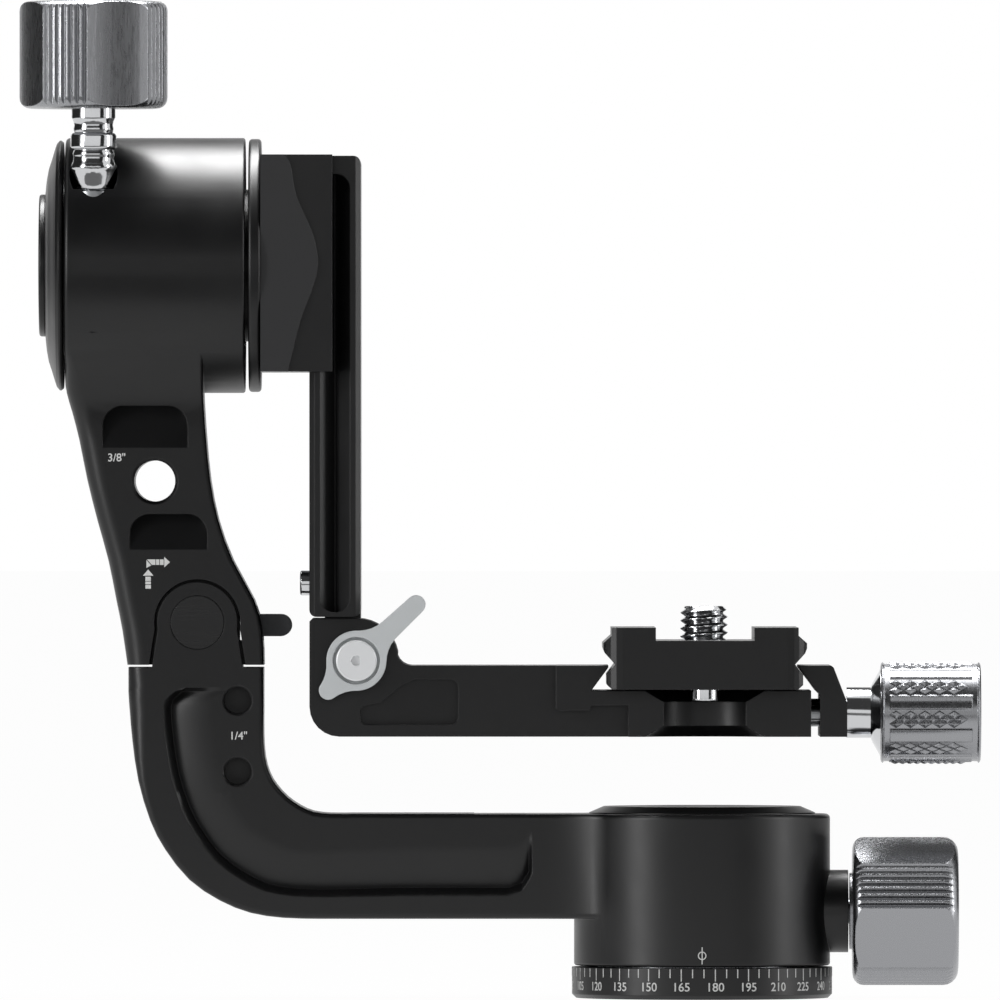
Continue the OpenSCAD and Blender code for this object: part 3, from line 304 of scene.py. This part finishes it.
def white_filled_engraving():
    """Paint wiped into laser-cut marks: flat, slightly warm white."""
    made, tree, shader = start_material(
        "white_filled_engraving",
        {"Base Color": colour("#dcdcda"), "IOR": 1.45},
    )
    bloom = grain(tree, 0.8 * MM)
    tree.links.new(spread(tree, bloom, 0.5, 0.65), shader.inputs["Roughness"])
    return made


MATERIALS = {
    "black_anodised": black_anodised_aluminium(),
    "pin_black": black_turned_aluminium(),
    "brushed_alloy": satin_nickel(),
    "chrome_plate": polished_chrome(),
    "lever_paint": cast_lever_metal(),
    "latch_coat": textured_grey_coat(),
    "steel_hardware": zinc_plated_steel(),
    "bearing_bronze": bearing_bronze(),
    "brake_nylon": brake_nylon(),
}
white_marking = white_filled_engraving()
# painted light: a lighter copy of the black anodising for the clamp's raised step
painted_light_step_finish = grey_satin_anodising()
# painted reflection: the screw head's nearly white colour stands in for its bright reflections
painted_reflection_screw_finish = bright_plated_screw()


# ---- finishes on the CAD nodes ----

SMOOTH_BELOW = math.radians(28)  # facets of a curve meet at less than this
TURNED_BELOW = math.radians(50)  # and those of a small turned profile at less than this
FLAT_BLENDS_BELOW = math.radians(12)  # a rounded edge's first facet leaves a flat face by less

SQUARE_ENOUGH = 0.9998  # least share of a unit normal along one axis, for a face square to it
WELD = 0.0005 * MM
ON_THE_FACE = 0.01 * MM  # how near a face's centre is to a plane that holds it

slot_of = {part["node"]: part["material_slot"] for part in frame["record"]["subparts"]}


def keep_as_mesh(name, made):
    """Turns a text, curve or modified object into a plain mesh object at the origin."""
    bpy.context.view_layer.update()
    seen = made.evaluated_get(bpy.context.evaluated_depsgraph_get())
    mesh = bpy.data.meshes.new_from_object(seen)
    mesh.transform(made.matrix_world)
    bpy.data.objects.remove(made)
    kept = bpy.data.objects.new(name, mesh)
    mesh.name = name
    bpy.context.scene.collection.objects.link(kept)
    return kept


def object_from(name, mesh):
    """A linked object with what that bmesh holds; the bmesh is freed."""
    made = bpy.data.objects.new(name, bpy.data.meshes.new(name))
    mesh.to_mesh(made.data)
    mesh.free()
    bpy.context.scene.collection.objects.link(made)
    return made


def join(name, pieces):
    """One object from several mesh objects."""
    joined = bmesh.new()
    for piece in pieces:
        joined.from_mesh(piece.data)
        bpy.data.objects.remove(piece)
    return object_from(name, joined)


def merged_copy(name, node, keep=None):
    """A copy of a CAD node with its loose triangles joined; keep picks faces by their centre."""
    made = bpy.data.objects.new(name, nodes[node].data.copy())
    bpy.context.scene.collection.objects.link(made)
    mesh = bmesh.new()
    mesh.from_mesh(made.data)
    bmesh.ops.remove_doubles(mesh, verts=mesh.verts, dist=WELD)
    if keep:
        unwanted = [face for face in mesh.faces if not keep(face.calc_center_median())]
        bmesh.ops.delete(mesh, geom=unwanted, context="FACES")
    mesh.to_mesh(made.data)
    mesh.free()
    return made


def weld(piece):
    """Joins the vertices of a piece that lie together."""
    mesh = bmesh.new()
    mesh.from_mesh(piece.data)
    bmesh.ops.remove_doubles(mesh, verts=mesh.verts, dist=WELD)
    mesh.to_mesh(piece.data)
    mesh.free()


def paint(piece, slot):
    """Gives a piece the finish of one of the record's material slots."""
    piece.data.materials.clear()
    piece.data.materials.append(MATERIALS[slot])


def smooth(piece, below=SMOOTH_BELOW):
    """Curved faces shade as curves; faces square to an axis keep their own flat shade."""
    mesh = bmesh.new()
    mesh.from_mesh(piece.data)
    flat = [max(map(abs, face.normal)) > SQUARE_ENOUGH for face in mesh.faces]
    mesh.faces.index_update()
    normals = []
    for face in mesh.faces:
        for vertex in face.verts:
            if flat[face.index]:
                normals.append(face.normal.copy())
                continue
            blend, plain = Vector(), Vector()
            for near in vertex.link_faces:
                angle = near.normal.angle(face.normal, math.pi)
                if flat[near.index] and angle < FLAT_BLENDS_BELOW:
                    plain += near.normal * near.calc_area()
                elif not flat[near.index] and angle < below:
                    blend += near.normal * near.calc_area()
            normals.append((plain if plain.length > 0 else blend).normalized())
    mesh.free()
    piece.data.shade_smooth()
    piece.data.normals_split_custom_set(normals)


def finish(made, node, below=SMOOTH_BELOW):
    """Shades a piece smoothly, gives it a node's finish and lets it ride with that node."""
    smooth(made, below)
    paint(made, slot_of[node])
    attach(made, body_carrying(node))
    return made


def dress(node, below=SMOOTH_BELOW):
    """A merged, smoothly shaded copy that stands for a CAD node."""
    made = finish(merged_copy(node + "_finished", node), node, below)
    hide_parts(node)
    return made


def dress_lower_arm():
    """The lower arm and its post as one bar, without the faces of the seam between them."""
    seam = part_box("lower_arm_post")[0][2]
    halves = [
        merged_copy(node, node, keep=lambda at: abs(at.z - seam) > ON_THE_FACE)
        for node in ("lower_arm", "lower_arm_post")
    ]
    made = join("lower_arm_finished", halves)
    weld(made)
    finish(made, "lower_arm")
    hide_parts("lower_arm", "lower_arm_post")


for node in nodes:
    paint(nodes[node], slot_of[node])

for node in ("upper_arm", "pan_lock_knob", "tilt_lock_knob", "platform_lever", "platform_arm"):
    dress(node)
for node in ("tilt_lock_stem", "clamp_knob_neck", "rail_stop_screw"):
    dress(node, TURNED_BELOW)
dress_lower_arm()

lever_screw = dress("lever_screw")
# the screw head takes the nearly white colour of its painted reflection
lever_screw.data.materials[0] = painted_reflection_screw_finish


# ---- painted light on the raised step of the swing clamp ----

STEP_PROUD = 0.02 * MM  # the face painted lighter stands before the clamp's own, so that it is the one seen


def step_face():
    """The raised part of the clamp's front, left of the wave, painted a shade lighter: painted light on
    that face.
    """
    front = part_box("swing_clamp_body")[0][1]
    made = merged_copy(
        "swing_clamp_painted_light_step", "swing_clamp_body", keep=lambda at: at.y < front + ON_THE_FACE
    )
    made.data.transform(Matrix.Translation((0, -STEP_PROUD, 0)))
    made.data.materials.clear()
    # painted light on the raised step of the clamp
    made.data.materials.append(painted_light_step_finish)
    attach(made, body_carrying("swing_clamp_body"))


step_face()


# ---- marks on the dial and the arms ----

FRONT_ANGLE_SHOWN = 174.6  # degrees on the dial that face the camera
DIAL_STEP = 5
NUMBER_STEP = 15
INK = 0.04 * MM  # thickness of the white filling, all of it proud so that it shows

DIAL_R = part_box("pan_base")[1][0]
HEAD_R = DIAL_R - 0.4 * MM  # the pan housing, just inside the dial
TICK_TOP = 6.1 * MM
LONG_TICK = 2.4 * MM
SHORT_TICK = 1.75 * MM
TICK_WIDTH = 0.2 * MM
CAPITAL_SHARE = 0.72  # a capital's height in the font, of the font's size
BOLDER = 0.012  # how far the strokes grow, of the capitals' height
NUMBER_HEIGHT = 1.75 * MM
NUMBER_MIDDLE = 2.45 * MM


def lettering(text, height):
    """Text as a thin mesh in the XY plane, centred, its capitals that high."""
    words = bpy.data.curves.new("lettering", "FONT")
    words.body = text
    words.align_x = "CENTER"
    words.align_y = "CENTER"
    words.size = height / CAPITAL_SHARE
    words.extrude = INK / 2
    words.offset = BOLDER * height
    made = bpy.data.objects.new("lettering", words)
    bpy.context.scene.collection.objects.link(made)
    return keep_as_mesh("lettering", made)


def wrap(piece, radius, angle, up):
    """Bends a flat piece round the pan axis: its X runs round the axis, its Y up, its Z outwards."""
    for vertex in piece.data.vertices:
        x, y, z = vertex.co
        turned = math.radians(angle) + x / radius
        out = radius + z + INK / 2
        vertex.co = (out * math.sin(turned), -out * math.cos(turned), up + y)


def ring_of_ticks():
    """Geometry Nodes: upright bars round a circle, every so-many-th one longer."""
    tree = bpy.data.node_groups.new("ring_of_ticks", "GeometryNodeTree")
    face = tree.interface
    sizes = {}
    for name, kind in [
        ("Count", "NodeSocketInt"),
        ("Radius", "NodeSocketFloat"),
        ("First Angle", "NodeSocketFloat"),
        ("Top", "NodeSocketFloat"),
        ("Width", "NodeSocketFloat"),
        ("Thickness", "NodeSocketFloat"),
        ("Short", "NodeSocketFloat"),
        ("Long", "NodeSocketFloat"),
        ("Long Every", "NodeSocketInt"),
        ("Finish", "NodeSocketMaterial"),
    ]:
        sizes[name] = face.new_socket(name, in_out="INPUT", socket_type=kind).identifier
    face.new_socket("Geometry", in_out="OUTPUT", socket_type="NodeSocketGeometry")
    given = add(tree, "NodeGroupInput").outputs

    count = add(tree, "GeometryNodeInputIndex").outputs[0]
    step = calculate(tree, "DIVIDE", math.tau, given["Count"])
    turned = calculate(tree, "ADD", calculate(tree, "MULTIPLY", count, step), given["First Angle"])
    sideways = calculate(tree, "SINE", turned, 0)
    towards_front = calculate(tree, "MULTIPLY", calculate(tree, "COSINE", turned, 0), -1)
    across = calculate(tree, "MULTIPLY", given["Radius"], sideways)
    away = calculate(tree, "MULTIPLY", given["Radius"], towards_front)
    place = add(tree, "ShaderNodeCombineXYZ", links={0: across, 1: away, 2: given["Top"]}).outputs[0]
    heading = add(tree, "ShaderNodeCombineXYZ", links={2: turned}).outputs[0]
    left_over = calculate(tree, "MODULO", count, given["Long Every"])
    is_short = calculate(tree, "GREATER_THAN", left_over, 0.5)
    length = add(
        tree,
        "ShaderNodeMapRange",
        links={"Value": is_short, "To Min": given["Long"], "To Max": given["Short"]},
    ).outputs[0]
    stretch = add(
        tree,
        "ShaderNodeCombineXYZ",
        links={0: given["Width"], 1: given["Thickness"], 2: length},
    ).outputs[0]
    points = add(tree, "GeometryNodePoints", links={"Count": given["Count"], "Position": place})
    cube = add(tree, "GeometryNodeMeshCube", inputs={"Size": (1, 1, 1)})
    hung = add(
        tree, "GeometryNodeTransform", inputs={"Translation": (0, 0, -0.5)}, links={0: cube.outputs["Mesh"]}
    )
    spread_out = add(
        tree,
        "GeometryNodeInstanceOnPoints",
        links={
            "Points": points.outputs[0],
            "Instance": hung.outputs[0],
            "Rotation": heading,
            "Scale": stretch,
        },
    )
    real = add(tree, "GeometryNodeRealizeInstances", links={0: spread_out.outputs[0]})
    painted = add(
        tree, "GeometryNodeSetMaterial", links={"Geometry": real.outputs[0], "Material": given["Finish"]}
    )
    add(tree, "NodeGroupOutput", links={0: painted.outputs[0]})
    return tree, sizes


def grown(name, tree, sizes, values):
    """The mesh that a Geometry Nodes tree makes with those named values."""
    seed = bpy.data.objects.new(name + "_seed", bpy.data.meshes.new(name))
    bpy.context.scene.collection.objects.link(seed)
    modifier = seed.modifiers.new("grown", "NODES")
    modifier.node_group = tree
    for input_name, value in values.items():
        modifier[sizes[input_name]] = value
    return keep_as_mesh(name, seed)


def dial_marks():
    """The pan base's scale: ticks round its side, with a number at every long one."""
    tree, sizes = ring_of_ticks()
    ticks = grown(
        "dial_ticks",
        tree,
        sizes,
        {
            "Count": 360 // DIAL_STEP,
            "Radius": DIAL_R + INK / 2,
            "First Angle": math.radians(-FRONT_ANGLE_SHOWN),
            "Top": TICK_TOP,
            "Width": TICK_WIDTH,
            "Thickness": INK,
            "Short": SHORT_TICK,
            "Long": LONG_TICK,
            "Long Every": NUMBER_STEP // DIAL_STEP,
            "Finish": white_marking,
        },
    )
    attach(ticks, body_carrying("pan_base"))
    numbers = []
    for number in range(0, 360, NUMBER_STEP):
        flat = lettering(str(number), NUMBER_HEIGHT)
        wrap(flat, DIAL_R, number - FRONT_ANGLE_SHOWN, NUMBER_MIDDLE)
        numbers.append(flat)
    numerals = join("dial_numerals", numbers)
    numerals.data.materials.append(white_marking)
    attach(numerals, body_carrying("pan_base"))


INDEX_ANGLE = -0.4  # degrees round the pan axis, from straight in front


def index_mark():
    """The pan head's index: a short upright line through a small ring."""
    ring_r = 0.85 * MM
    line_w = 0.2 * MM
    line_h = 3.4 * MM
    middle_z = 8.8 * MM
    mesh = bmesh.new()
    bmesh.ops.create_cube(mesh, size=1, matrix=Matrix.Diagonal((line_w, line_h, INK, 1)))
    steps = 32
    rings = []
    for k in range(steps):
        a = math.tau * k / steps
        inner_r = ring_r - line_w
        corners = [(inner_r, -INK / 2), (ring_r, -INK / 2), (ring_r, INK / 2), (inner_r, INK / 2)]
        rings.append([mesh.verts.new((r * math.cos(a), r * math.sin(a), z)) for r, z in corners])
    for k in range(steps):
        for c in range(4):
            here, following = rings[k], rings[(k + 1) % steps]
            mesh.faces.new((here[c], following[c], following[(c + 1) % 4], here[(c + 1) % 4]))
    bmesh.ops.recalc_face_normals(mesh, faces=mesh.faces)
    made = object_from("index_mark", mesh)
    wrap(made, HEAD_R, INDEX_ANGLE, middle_z)
    made.data.materials.append(white_marking)
    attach(made, body_carrying("pan_top_cap"))


ARM_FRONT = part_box("fold_pin")[0][1]  # the plane of the arms' front faces
ARM_NUMBER_H = 1.6 * MM


def stand_on_arm(flat, x, z, node, name):
    """Sets a flat mark upright on the front of an arm, at x, z, and lets it ride with that arm."""
    flat.data.transform(
        Matrix.Translation((x, ARM_FRONT - INK / 2, z)) @ Matrix.Rotation(math.pi / 2, 4, "X")
    )
    flat.name = name
    flat.data.materials.clear()
    flat.data.materials.append(white_marking)
    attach(flat, body_carrying(node))


def prism(outlines):
    """Flat outlines in the XY plane, each with the thickness of the ink."""
    mesh = bmesh.new()
    for outline in outlines:
        corners = [mesh.verts.new((x, y, -INK / 2)) for x, y in outline]
        face = mesh.faces.new(corners)
        top = bmesh.ops.extrude_face_region(mesh, geom=[face])["geom"]
        moved = [part for part in top if isinstance(part, bmesh.types.BMVert)]
        bmesh.ops.translate(mesh, vec=(0, 0, INK), verts=moved)
    bmesh.ops.recalc_face_normals(mesh, faces=mesh.faces)
    return object_from("prism", mesh)


def fold_arrows():
    """The pictogram beside the fold joint: a broken arrow up, and one that turns right."""
    stem, head, gap = 0.55 * MM, 1.05 * MM, 0.12 * MM
    up_head = [(-head, 0), (head, 0), (0, 1.25 * MM)]
    blocks = []
    top = -0.2 * MM
    for tall in (0.85 * MM, 0.55 * MM, 0.75 * MM):
        blocks.append([(-stem, top - tall), (stem, top - tall), (stem, top), (-stem, top)])
        top -= tall + gap
    low, high = 1.55 * MM, 3.25 * MM
    left, right = -0.35 * MM, 1.45 * MM
    thick = 1.1 * MM
    inner = left + thick - gap
    lower_corner = [(left, low), (inner, low + 0.5 * MM), (inner, high - thick - gap), (left, high - gap)]
    upper_corner = [(left + gap, high), (left + thick, high - thick), (right, high - thick), (right, high)]
    row = right + gap
    for wide in (0.65 * MM, 0.75 * MM):
        blocks.append([(row, high - thick), (row + wide, high - thick), (row + wide, high), (row, high)])
        row += wide + gap
    middle = high - thick / 2
    right_head = [(row, middle - head), (row + 1.15 * MM, middle), (row, middle + head)]
    return prism([up_head, lower_corner, upper_corner, right_head] + blocks)


def arm_marks():
    """The sizes beside the accessory holes and the arrows beside the elbow."""
    x_upper, z_upper = -116.9 * MM, 107.9 * MM
    x_lower, z_lower = -92.6 * MM, 52.4 * MM
    x_arrow, z_arrow = -110.6 * MM, 84.4 * MM
    stand_on_arm(lettering('3/8"', ARM_NUMBER_H), x_upper, z_upper, "upper_arm", "upper_size_mark")
    stand_on_arm(lettering('1/4"', ARM_NUMBER_H), x_lower, z_lower, "lower_arm", "lower_size_mark")
    stand_on_arm(fold_arrows(), x_arrow, z_arrow, "upper_arm", "fold_arrows")


dial_marks()
index_mark()
arm_marks()


# ---- knurled clamp knobs ----

KNURL_CREST = 10.3 * MM
KNURL_ROOT = 9.75 * MM
BANDS = 9  # knurled bands round a knob, with a smooth scallop between each two
BAND_ROWS = 3
BAND_SLACK = 0.06 * MM  # points this near the crest belong to a band
DIAMOND_SINK = 0.03 * MM  # the diamonds' feet lie under the sunk band
DIAMOND_L = 2.9 * MM  # one diamond along the knob
DIAMOND_FLAT = 0.12  # the flat on a diamond's top, of its foot
DIAMOND_TURN = math.radians(5.3)  # from one row of diamonds to the next


def knurled_bands():
    """Geometry Nodes: bands of diamonds round the X axis, from x = 0 on."""
    tree = bpy.data.node_groups.new("knurled_bands", "GeometryNodeTree")
    face = tree.interface
    sizes = {}
    for name, kind in [
        ("Bands", "NodeSocketInt"),
        ("Rows", "NodeSocketInt"),
        ("Columns", "NodeSocketInt"),
        ("Root Radius", "NodeSocketFloat"),
        ("Crest Radius", "NodeSocketFloat"),
        ("Diamond Length", "NodeSocketFloat"),
        ("Row Angle", "NodeSocketFloat"),
        ("First Angle", "NodeSocketFloat"),
        ("Finish", "NodeSocketMaterial"),
    ]:
        sizes[name] = face.new_socket(name, in_out="INPUT", socket_type=kind).identifier
    face.new_socket("Geometry", in_out="OUTPUT", socket_type="NodeSocketGeometry")
    given = add(tree, "NodeGroupInput").outputs
    index = add(tree, "GeometryNodeInputIndex").outputs[0]
    column = calculate(tree, "FLOORED_MODULO", index, given["Columns"])
    line = calculate(tree, "FLOOR", calculate(tree, "DIVIDE", index, given["Columns"]), 0)
    row = calculate(tree, "FLOORED_MODULO", line, given["Rows"])
    band = calculate(tree, "FLOOR", calculate(tree, "DIVIDE", line, given["Rows"]), 0)
    staggered = calculate(tree, "MULTIPLY", calculate(tree, "FLOORED_MODULO", row, 2), 0.5)
    place_in_row = calculate(tree, "ADD", calculate(tree, "ADD", column, 0.5), staggered)
    along = calculate(tree, "MULTIPLY", place_in_row, given["Diamond Length"])
    middle_row = calculate(tree, "DIVIDE", calculate(tree, "SUBTRACT", given["Rows"], 1), 2)
    in_band = calculate(tree, "MULTIPLY", calculate(tree, "SUBTRACT", row, middle_row), given["Row Angle"])
    band_turn = calculate(tree, "MULTIPLY", band, calculate(tree, "DIVIDE", math.tau, given["Bands"]))
    turned = calculate(tree, "ADD", calculate(tree, "ADD", in_band, band_turn), given["First Angle"])
    sideways = calculate(tree, "MULTIPLY", calculate(tree, "SINE", turned, 0), -1)
    upright = calculate(tree, "COSINE", turned, 0)
    place = add(
        tree,
        "ShaderNodeCombineXYZ",
        links={
            0: along,
            1: calculate(tree, "MULTIPLY", sideways, given["Root Radius"]),
            2: calculate(tree, "MULTIPLY", upright, given["Root Radius"]),
        },
    ).outputs[0]
    heading = add(tree, "ShaderNodeCombineXYZ", links={0: turned}).outputs[0]
    size = add(
        tree,
        "ShaderNodeCombineXYZ",
        links={
            0: calculate(tree, "MULTIPLY", given["Diamond Length"], 0.5),
            1: calculate(tree, "MULTIPLY", given["Root Radius"], given["Row Angle"]),
            2: calculate(tree, "SUBTRACT", given["Crest Radius"], given["Root Radius"]),
        },
    ).outputs[0]
    lines = calculate(tree, "MULTIPLY", given["Bands"], given["Rows"])
    total = calculate(tree, "MULTIPLY", lines, given["Columns"])
    points = add(tree, "GeometryNodePoints", links={"Count": total, "Position": place})
    diamond = add(
        tree,
        "GeometryNodeMeshCone",
        inputs={"Vertices": 4, "Radius Top": DIAMOND_FLAT, "Radius Bottom": 1, "Depth": 1},
    )
    set_out = add(
        tree,
        "GeometryNodeInstanceOnPoints",
        links={
            "Points": points.outputs[0],
            "Instance": diamond.outputs[0],
            "Rotation": heading,
            "Scale": size,
        },
    )
    real = add(tree, "GeometryNodeRealizeInstances", links={0: set_out.outputs[0]})
    painted = add(
        tree, "GeometryNodeSetMaterial", links={"Geometry": real.outputs[0], "Material": given["Finish"]}
    )
    add(tree, "NodeGroupOutput", links={0: painted.outputs[0]})
    return tree, sizes


def knurl_knob(node, axis, start, columns, first_angle):
    """Replaces a banded CAD knob by a copy with sunk bands, and sets diamonds on them."""
    made = merged_copy(node + "_finished", node)
    low, high = (Vector(corner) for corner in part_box(node))
    hub = (low + high) / 2
    keep_out = KNURL_CREST - BAND_SLACK
    for vertex in made.data.vertices:
        offset = vertex.co - hub
        offset[axis] = 0
        if offset.length > keep_out:
            vertex.co -= offset * (1 - KNURL_ROOT / offset.length)
    finish(made, node)
    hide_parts(node)
    diamonds = grown(
        node + "_knurl",
        *KNURL,
        {
            "Bands": BANDS,
            "Rows": BAND_ROWS,
            "Columns": columns,
            "Root Radius": KNURL_ROOT - DIAMOND_SINK,
            "Crest Radius": KNURL_CREST,
            "Diamond Length": DIAMOND_L,
            "Row Angle": DIAMOND_TURN,
            "First Angle": first_angle,
            "Finish": MATERIALS[slot_of[node]],
        },
    )
    if axis == 1:
        diamonds.data.transform(Matrix.Rotation(math.pi / 2, 4, "Z"))
    origin = hub.copy()
    origin[axis] = start
    diamonds.data.transform(Matrix.Translation(origin))
    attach(diamonds, body_carrying(node))


KNURL = knurled_bands()
RIM = 1.5 * MM
HUB_L = 2.5 * MM
FIRST_BAND = math.radians(17.7)
REAR_FIRST_BAND = math.radians(-2.3)
knurl_knob("clamp_knob", 0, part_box("clamp_knob")[0][0] + RIM, 5, FIRST_BAND)
knurl_knob("swing_clamp_knob", 1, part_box("swing_clamp_knob")[0][1] + HUB_L + RIM, 4, REAR_FIRST_BAND)


# ---- camera screw ----

THREAD_PITCH = 25.4 / 16 * MM  # 3/8 inch, 16 to the inch
THREAD_CREST = 9.525 / 2 * MM
THREAD_DEPTH = 0.9 * MM
FLAT_SHARE = 0.12  # of half a pitch, the flat on the crest, and the same in the root
TURN_STEPS = 40
PITCH_STEPS = 10
TIP_CHAMFER = 0.9 * MM
THREAD_START = 71.5 * MM  # at the plate's seat; below it runs the plain neck


def threaded_shank():
    """The camera screw's thread: a closed surface whose radius rises and falls along a helix."""
    low, high = (Vector(corner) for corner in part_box("camera_screw"))
    hub = (low + high) / 2
    mesh = bmesh.new()
    steps = int((high.z - THREAD_START) / THREAD_PITCH * PITCH_STEPS)
    rings = []
    for k in range(steps + 1):
        z = THREAD_START + (high.z - THREAD_START) * k / steps
        limit = THREAD_CREST - max(0, TIP_CHAMFER - (high.z - z))
        ring = []
        for t in range(TURN_STEPS):
            turn = t / TURN_STEPS
            wave = abs(((z / THREAD_PITCH - turn) % 1) * 2 - 1)  # 1 on a crest, 0 in a root
            flat_wave = min(1, max(0, (wave - FLAT_SHARE) / (1 - 2 * FLAT_SHARE)))
            radius = min(limit, THREAD_CREST - THREAD_DEPTH * (1 - flat_wave))
            angle = math.tau * turn
            x, y = hub.x + radius * math.cos(angle), hub.y + radius * math.sin(angle)
            ring.append(mesh.verts.new((x, y, z)))
        rings.append(ring)
    for below, above in zip(rings, rings[1:]):
        for t in range(TURN_STEPS):
            n = (t + 1) % TURN_STEPS
            mesh.faces.new((below[t], below[n], above[n], above[t]))
    mesh.faces.new(rings[0])
    mesh.faces.new(rings[-1])
    bmesh.ops.recalc_face_normals(mesh, faces=mesh.faces)
    finish(object_from("camera_screw_thread", mesh), "camera_screw")
    head = merged_copy(
        "camera_screw_head", "camera_screw", keep=lambda at: at.z < THREAD_START + ON_THE_FACE
    )
    finish(head, "camera_screw")
    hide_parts("camera_screw")


threaded_shank()


# ---- floor, light and camera ----

IMAGE_WIDTH = 1000
PIXEL = 0.2 * MM  # one pixel of the photograph, in the plane of the pan axis
AXIS_COLUMN = 702  # the photograph's column of the pan axis
TRIPOD_ROW = 997.5  # its row of the pan base's underside
CAMERA_DISTANCE = 5.0
SENSOR = 36  # millimetres
FLOOR_SIZE = 60
FLOOR_GAP = 0.05 * MM  # under the pan base, so that the two faces don't meet
FLOOR_WHITENESS = 0.975  # the part of the floor's look that is the background's own white


def seen_directly(tree):
    """1 for camera, glossy and transmission rays, otherwise 0."""
    path = add(tree, "ShaderNodeLightPath")
    seen = path.outputs["Is Camera Ray"]
    for ray in ("Is Glossy Ray", "Is Transmission Ray"):
        seen = calculate(tree, "MAXIMUM", seen, path.outputs[ray])
    return seen


def build_world():
    """White where the camera looks past the object, and dim for the light that reaches it."""
    world = bpy.data.worlds.new("studio")
    bpy.context.scene.world = world
    world.use_nodes = True
    tree = world.node_tree
    tree.nodes.clear()
    dim = add(tree, "ShaderNodeBackground", inputs={"Color": colour("#f2f4f7"), "Strength": 0.28})
    white = add(tree, "ShaderNodeBackground", inputs={"Color": colour("#ffffff"), "Strength": 1})
    seen = seen_directly(tree)
    mixed = add(tree, "ShaderNodeMixShader", links={0: seen, 1: dim.outputs[0], 2: white.outputs[0]})
    add(tree, "ShaderNodeOutputWorld", links={"Surface": mixed.outputs[0]})


def build_floor():
    """A pale sweep that is nearly as white as the background and keeps a faint shadow."""
    bpy.ops.mesh.primitive_plane_add(size=FLOOR_SIZE, location=(0, 0, -FLOOR_GAP))
    floor = bpy.context.object
    floor.name = "floor"
    pale = bpy.data.materials.new("pale_paper_sweep")
    pale.use_nodes = True
    tree = pale.node_tree
    tree.nodes.clear()
    paper = add(tree, "ShaderNodeBsdfDiffuse", inputs={"Color": colour("#e9e9e9")})
    white = add(tree, "ShaderNodeEmission", inputs={"Color": colour("#ffffff"), "Strength": 1})
    seen = seen_directly(tree)
    share = calculate(tree, "MULTIPLY", seen, FLOOR_WHITENESS)
    mixed = add(tree, "ShaderNodeMixShader", links={0: share, 1: paper.outputs[0], 2: white.outputs[0]})
    add(tree, "ShaderNodeOutputMaterial", links={"Surface": mixed.outputs[0]})
    floor.data.materials.append(pale)


def softbox(name, place, aim, width, height, watts):
    """An area lamp of that size at place, turned towards aim."""
    lamp = bpy.data.lights.new(name, "AREA")
    lamp.shape = "RECTANGLE"
    lamp.size = width
    lamp.size_y = height
    lamp.energy = watts
    made = bpy.data.objects.new(name, lamp)
    made.location = place
    made.rotation_euler = (Vector(aim) - Vector(place)).to_track_quat("-Z", "Y").to_euler()
    bpy.context.scene.collection.objects.link(made)


def build_lights():
    """Two upright strips and a box overhead light the object at a plain level."""
    middle = (-40 * MM, 0, 100 * MM)
    softbox("left_strip", (-0.9, -0.55, 0.12), middle, 0.22, 1.1, 8)
    softbox("right_strip", (0.95, -0.2, 0.12), middle, 0.16, 1.1, 4.5)
    softbox("top_box", (-0.05, 0.1, 1.15), middle, 0.9, 0.5, 8)


def card(name, place, aim, width, height, strength):
    """A plane of that size at place, turned towards aim, that only reflections see."""
    mesh = bmesh.new()
    bmesh.ops.create_grid(mesh, x_segments=1, y_segments=1, size=0.5)
    bmesh.ops.transform(mesh, matrix=Matrix.Diagonal((width, height, 1, 1)), verts=mesh.verts)
    made = object_from(name, mesh)
    made.location = place
    made.rotation_euler = (Vector(aim) - Vector(place)).to_track_quat("-Z", "Y").to_euler()
    for ray in ("visible_camera", "visible_diffuse", "visible_shadow", "visible_transmission"):
        setattr(made, ray, False)
    surface = bpy.data.materials.new(name)
    surface.use_nodes = True
    tree = surface.node_tree
    tree.nodes.clear()
    glow = add(tree, "ShaderNodeEmission", inputs={"Color": colour("#ffffff"), "Strength": strength})
    add(tree, "ShaderNodeOutputMaterial", links={"Surface": glow.outputs[0]})
    made.data.materials.append(surface)


def round_about(azimuth, distance, height):
    """A place round the pan axis; azimuth 0 is in front, positive to the right."""
    turned = math.radians(azimuth)
    return (distance * math.sin(turned), -distance * math.cos(turned), height)


def build_cards():
    """Dark cards and one bright one round the object, for the contrast of its reflections."""
    middle = (-40 * MM, 0, 100 * MM)
    card("upper_front_card", (0, -1.5, 1.4), middle, 3.4, 2.2, 0.06)
    card("floor_card", (0, -1.0, 0.0005), (0, -1.0, 1), 3.2, 1.5, 0.2)
    card("right_front_card", round_about(42, 1.3, 0.5), (0, 0, 0.5), 0.5, 1.3, 0.03)
    card("left_back_card", round_about(-108, 1.3, 0.6), (0, 0, 0.6), 1.9, 1.6, 0.03)
    card("right_back_card", round_about(135, 1.3, 0.6), (0, 0, 0.6), 1.1, 1.6, 0.03)
    card("upper_back_card", (0, 1.3, 1.1), middle, 3, 1, 0.12)
    card("bright_top", (-0.1, 0.25, 0.95), middle, 0.8, 0.42, 26)


def build_camera():
    """Level, seen square on, from far enough that the photograph's scale holds through the object."""
    lens = bpy.data.cameras.new("camera")
    lens.sensor_width = SENSOR
    lens.lens = SENSOR * CAMERA_DISTANCE / (IMAGE_WIDTH * PIXEL)
    made = bpy.data.objects.new("camera", lens)
    across = (IMAGE_WIDTH / 2 - AXIS_COLUMN) * PIXEL
    up = (TRIPOD_ROW - IMAGE_WIDTH / 2) * PIXEL
    made.location = (across, -CAMERA_DISTANCE, up)
    made.rotation_euler = (math.pi / 2, 0, 0)
    bpy.context.scene.collection.objects.link(made)
    bpy.context.scene.camera = made


build_world()
build_floor()
build_lights()
build_cards()
build_camera()
bpy.context.scene.view_settings.view_transform = "Standard"

bpy.context.view_layer.update()
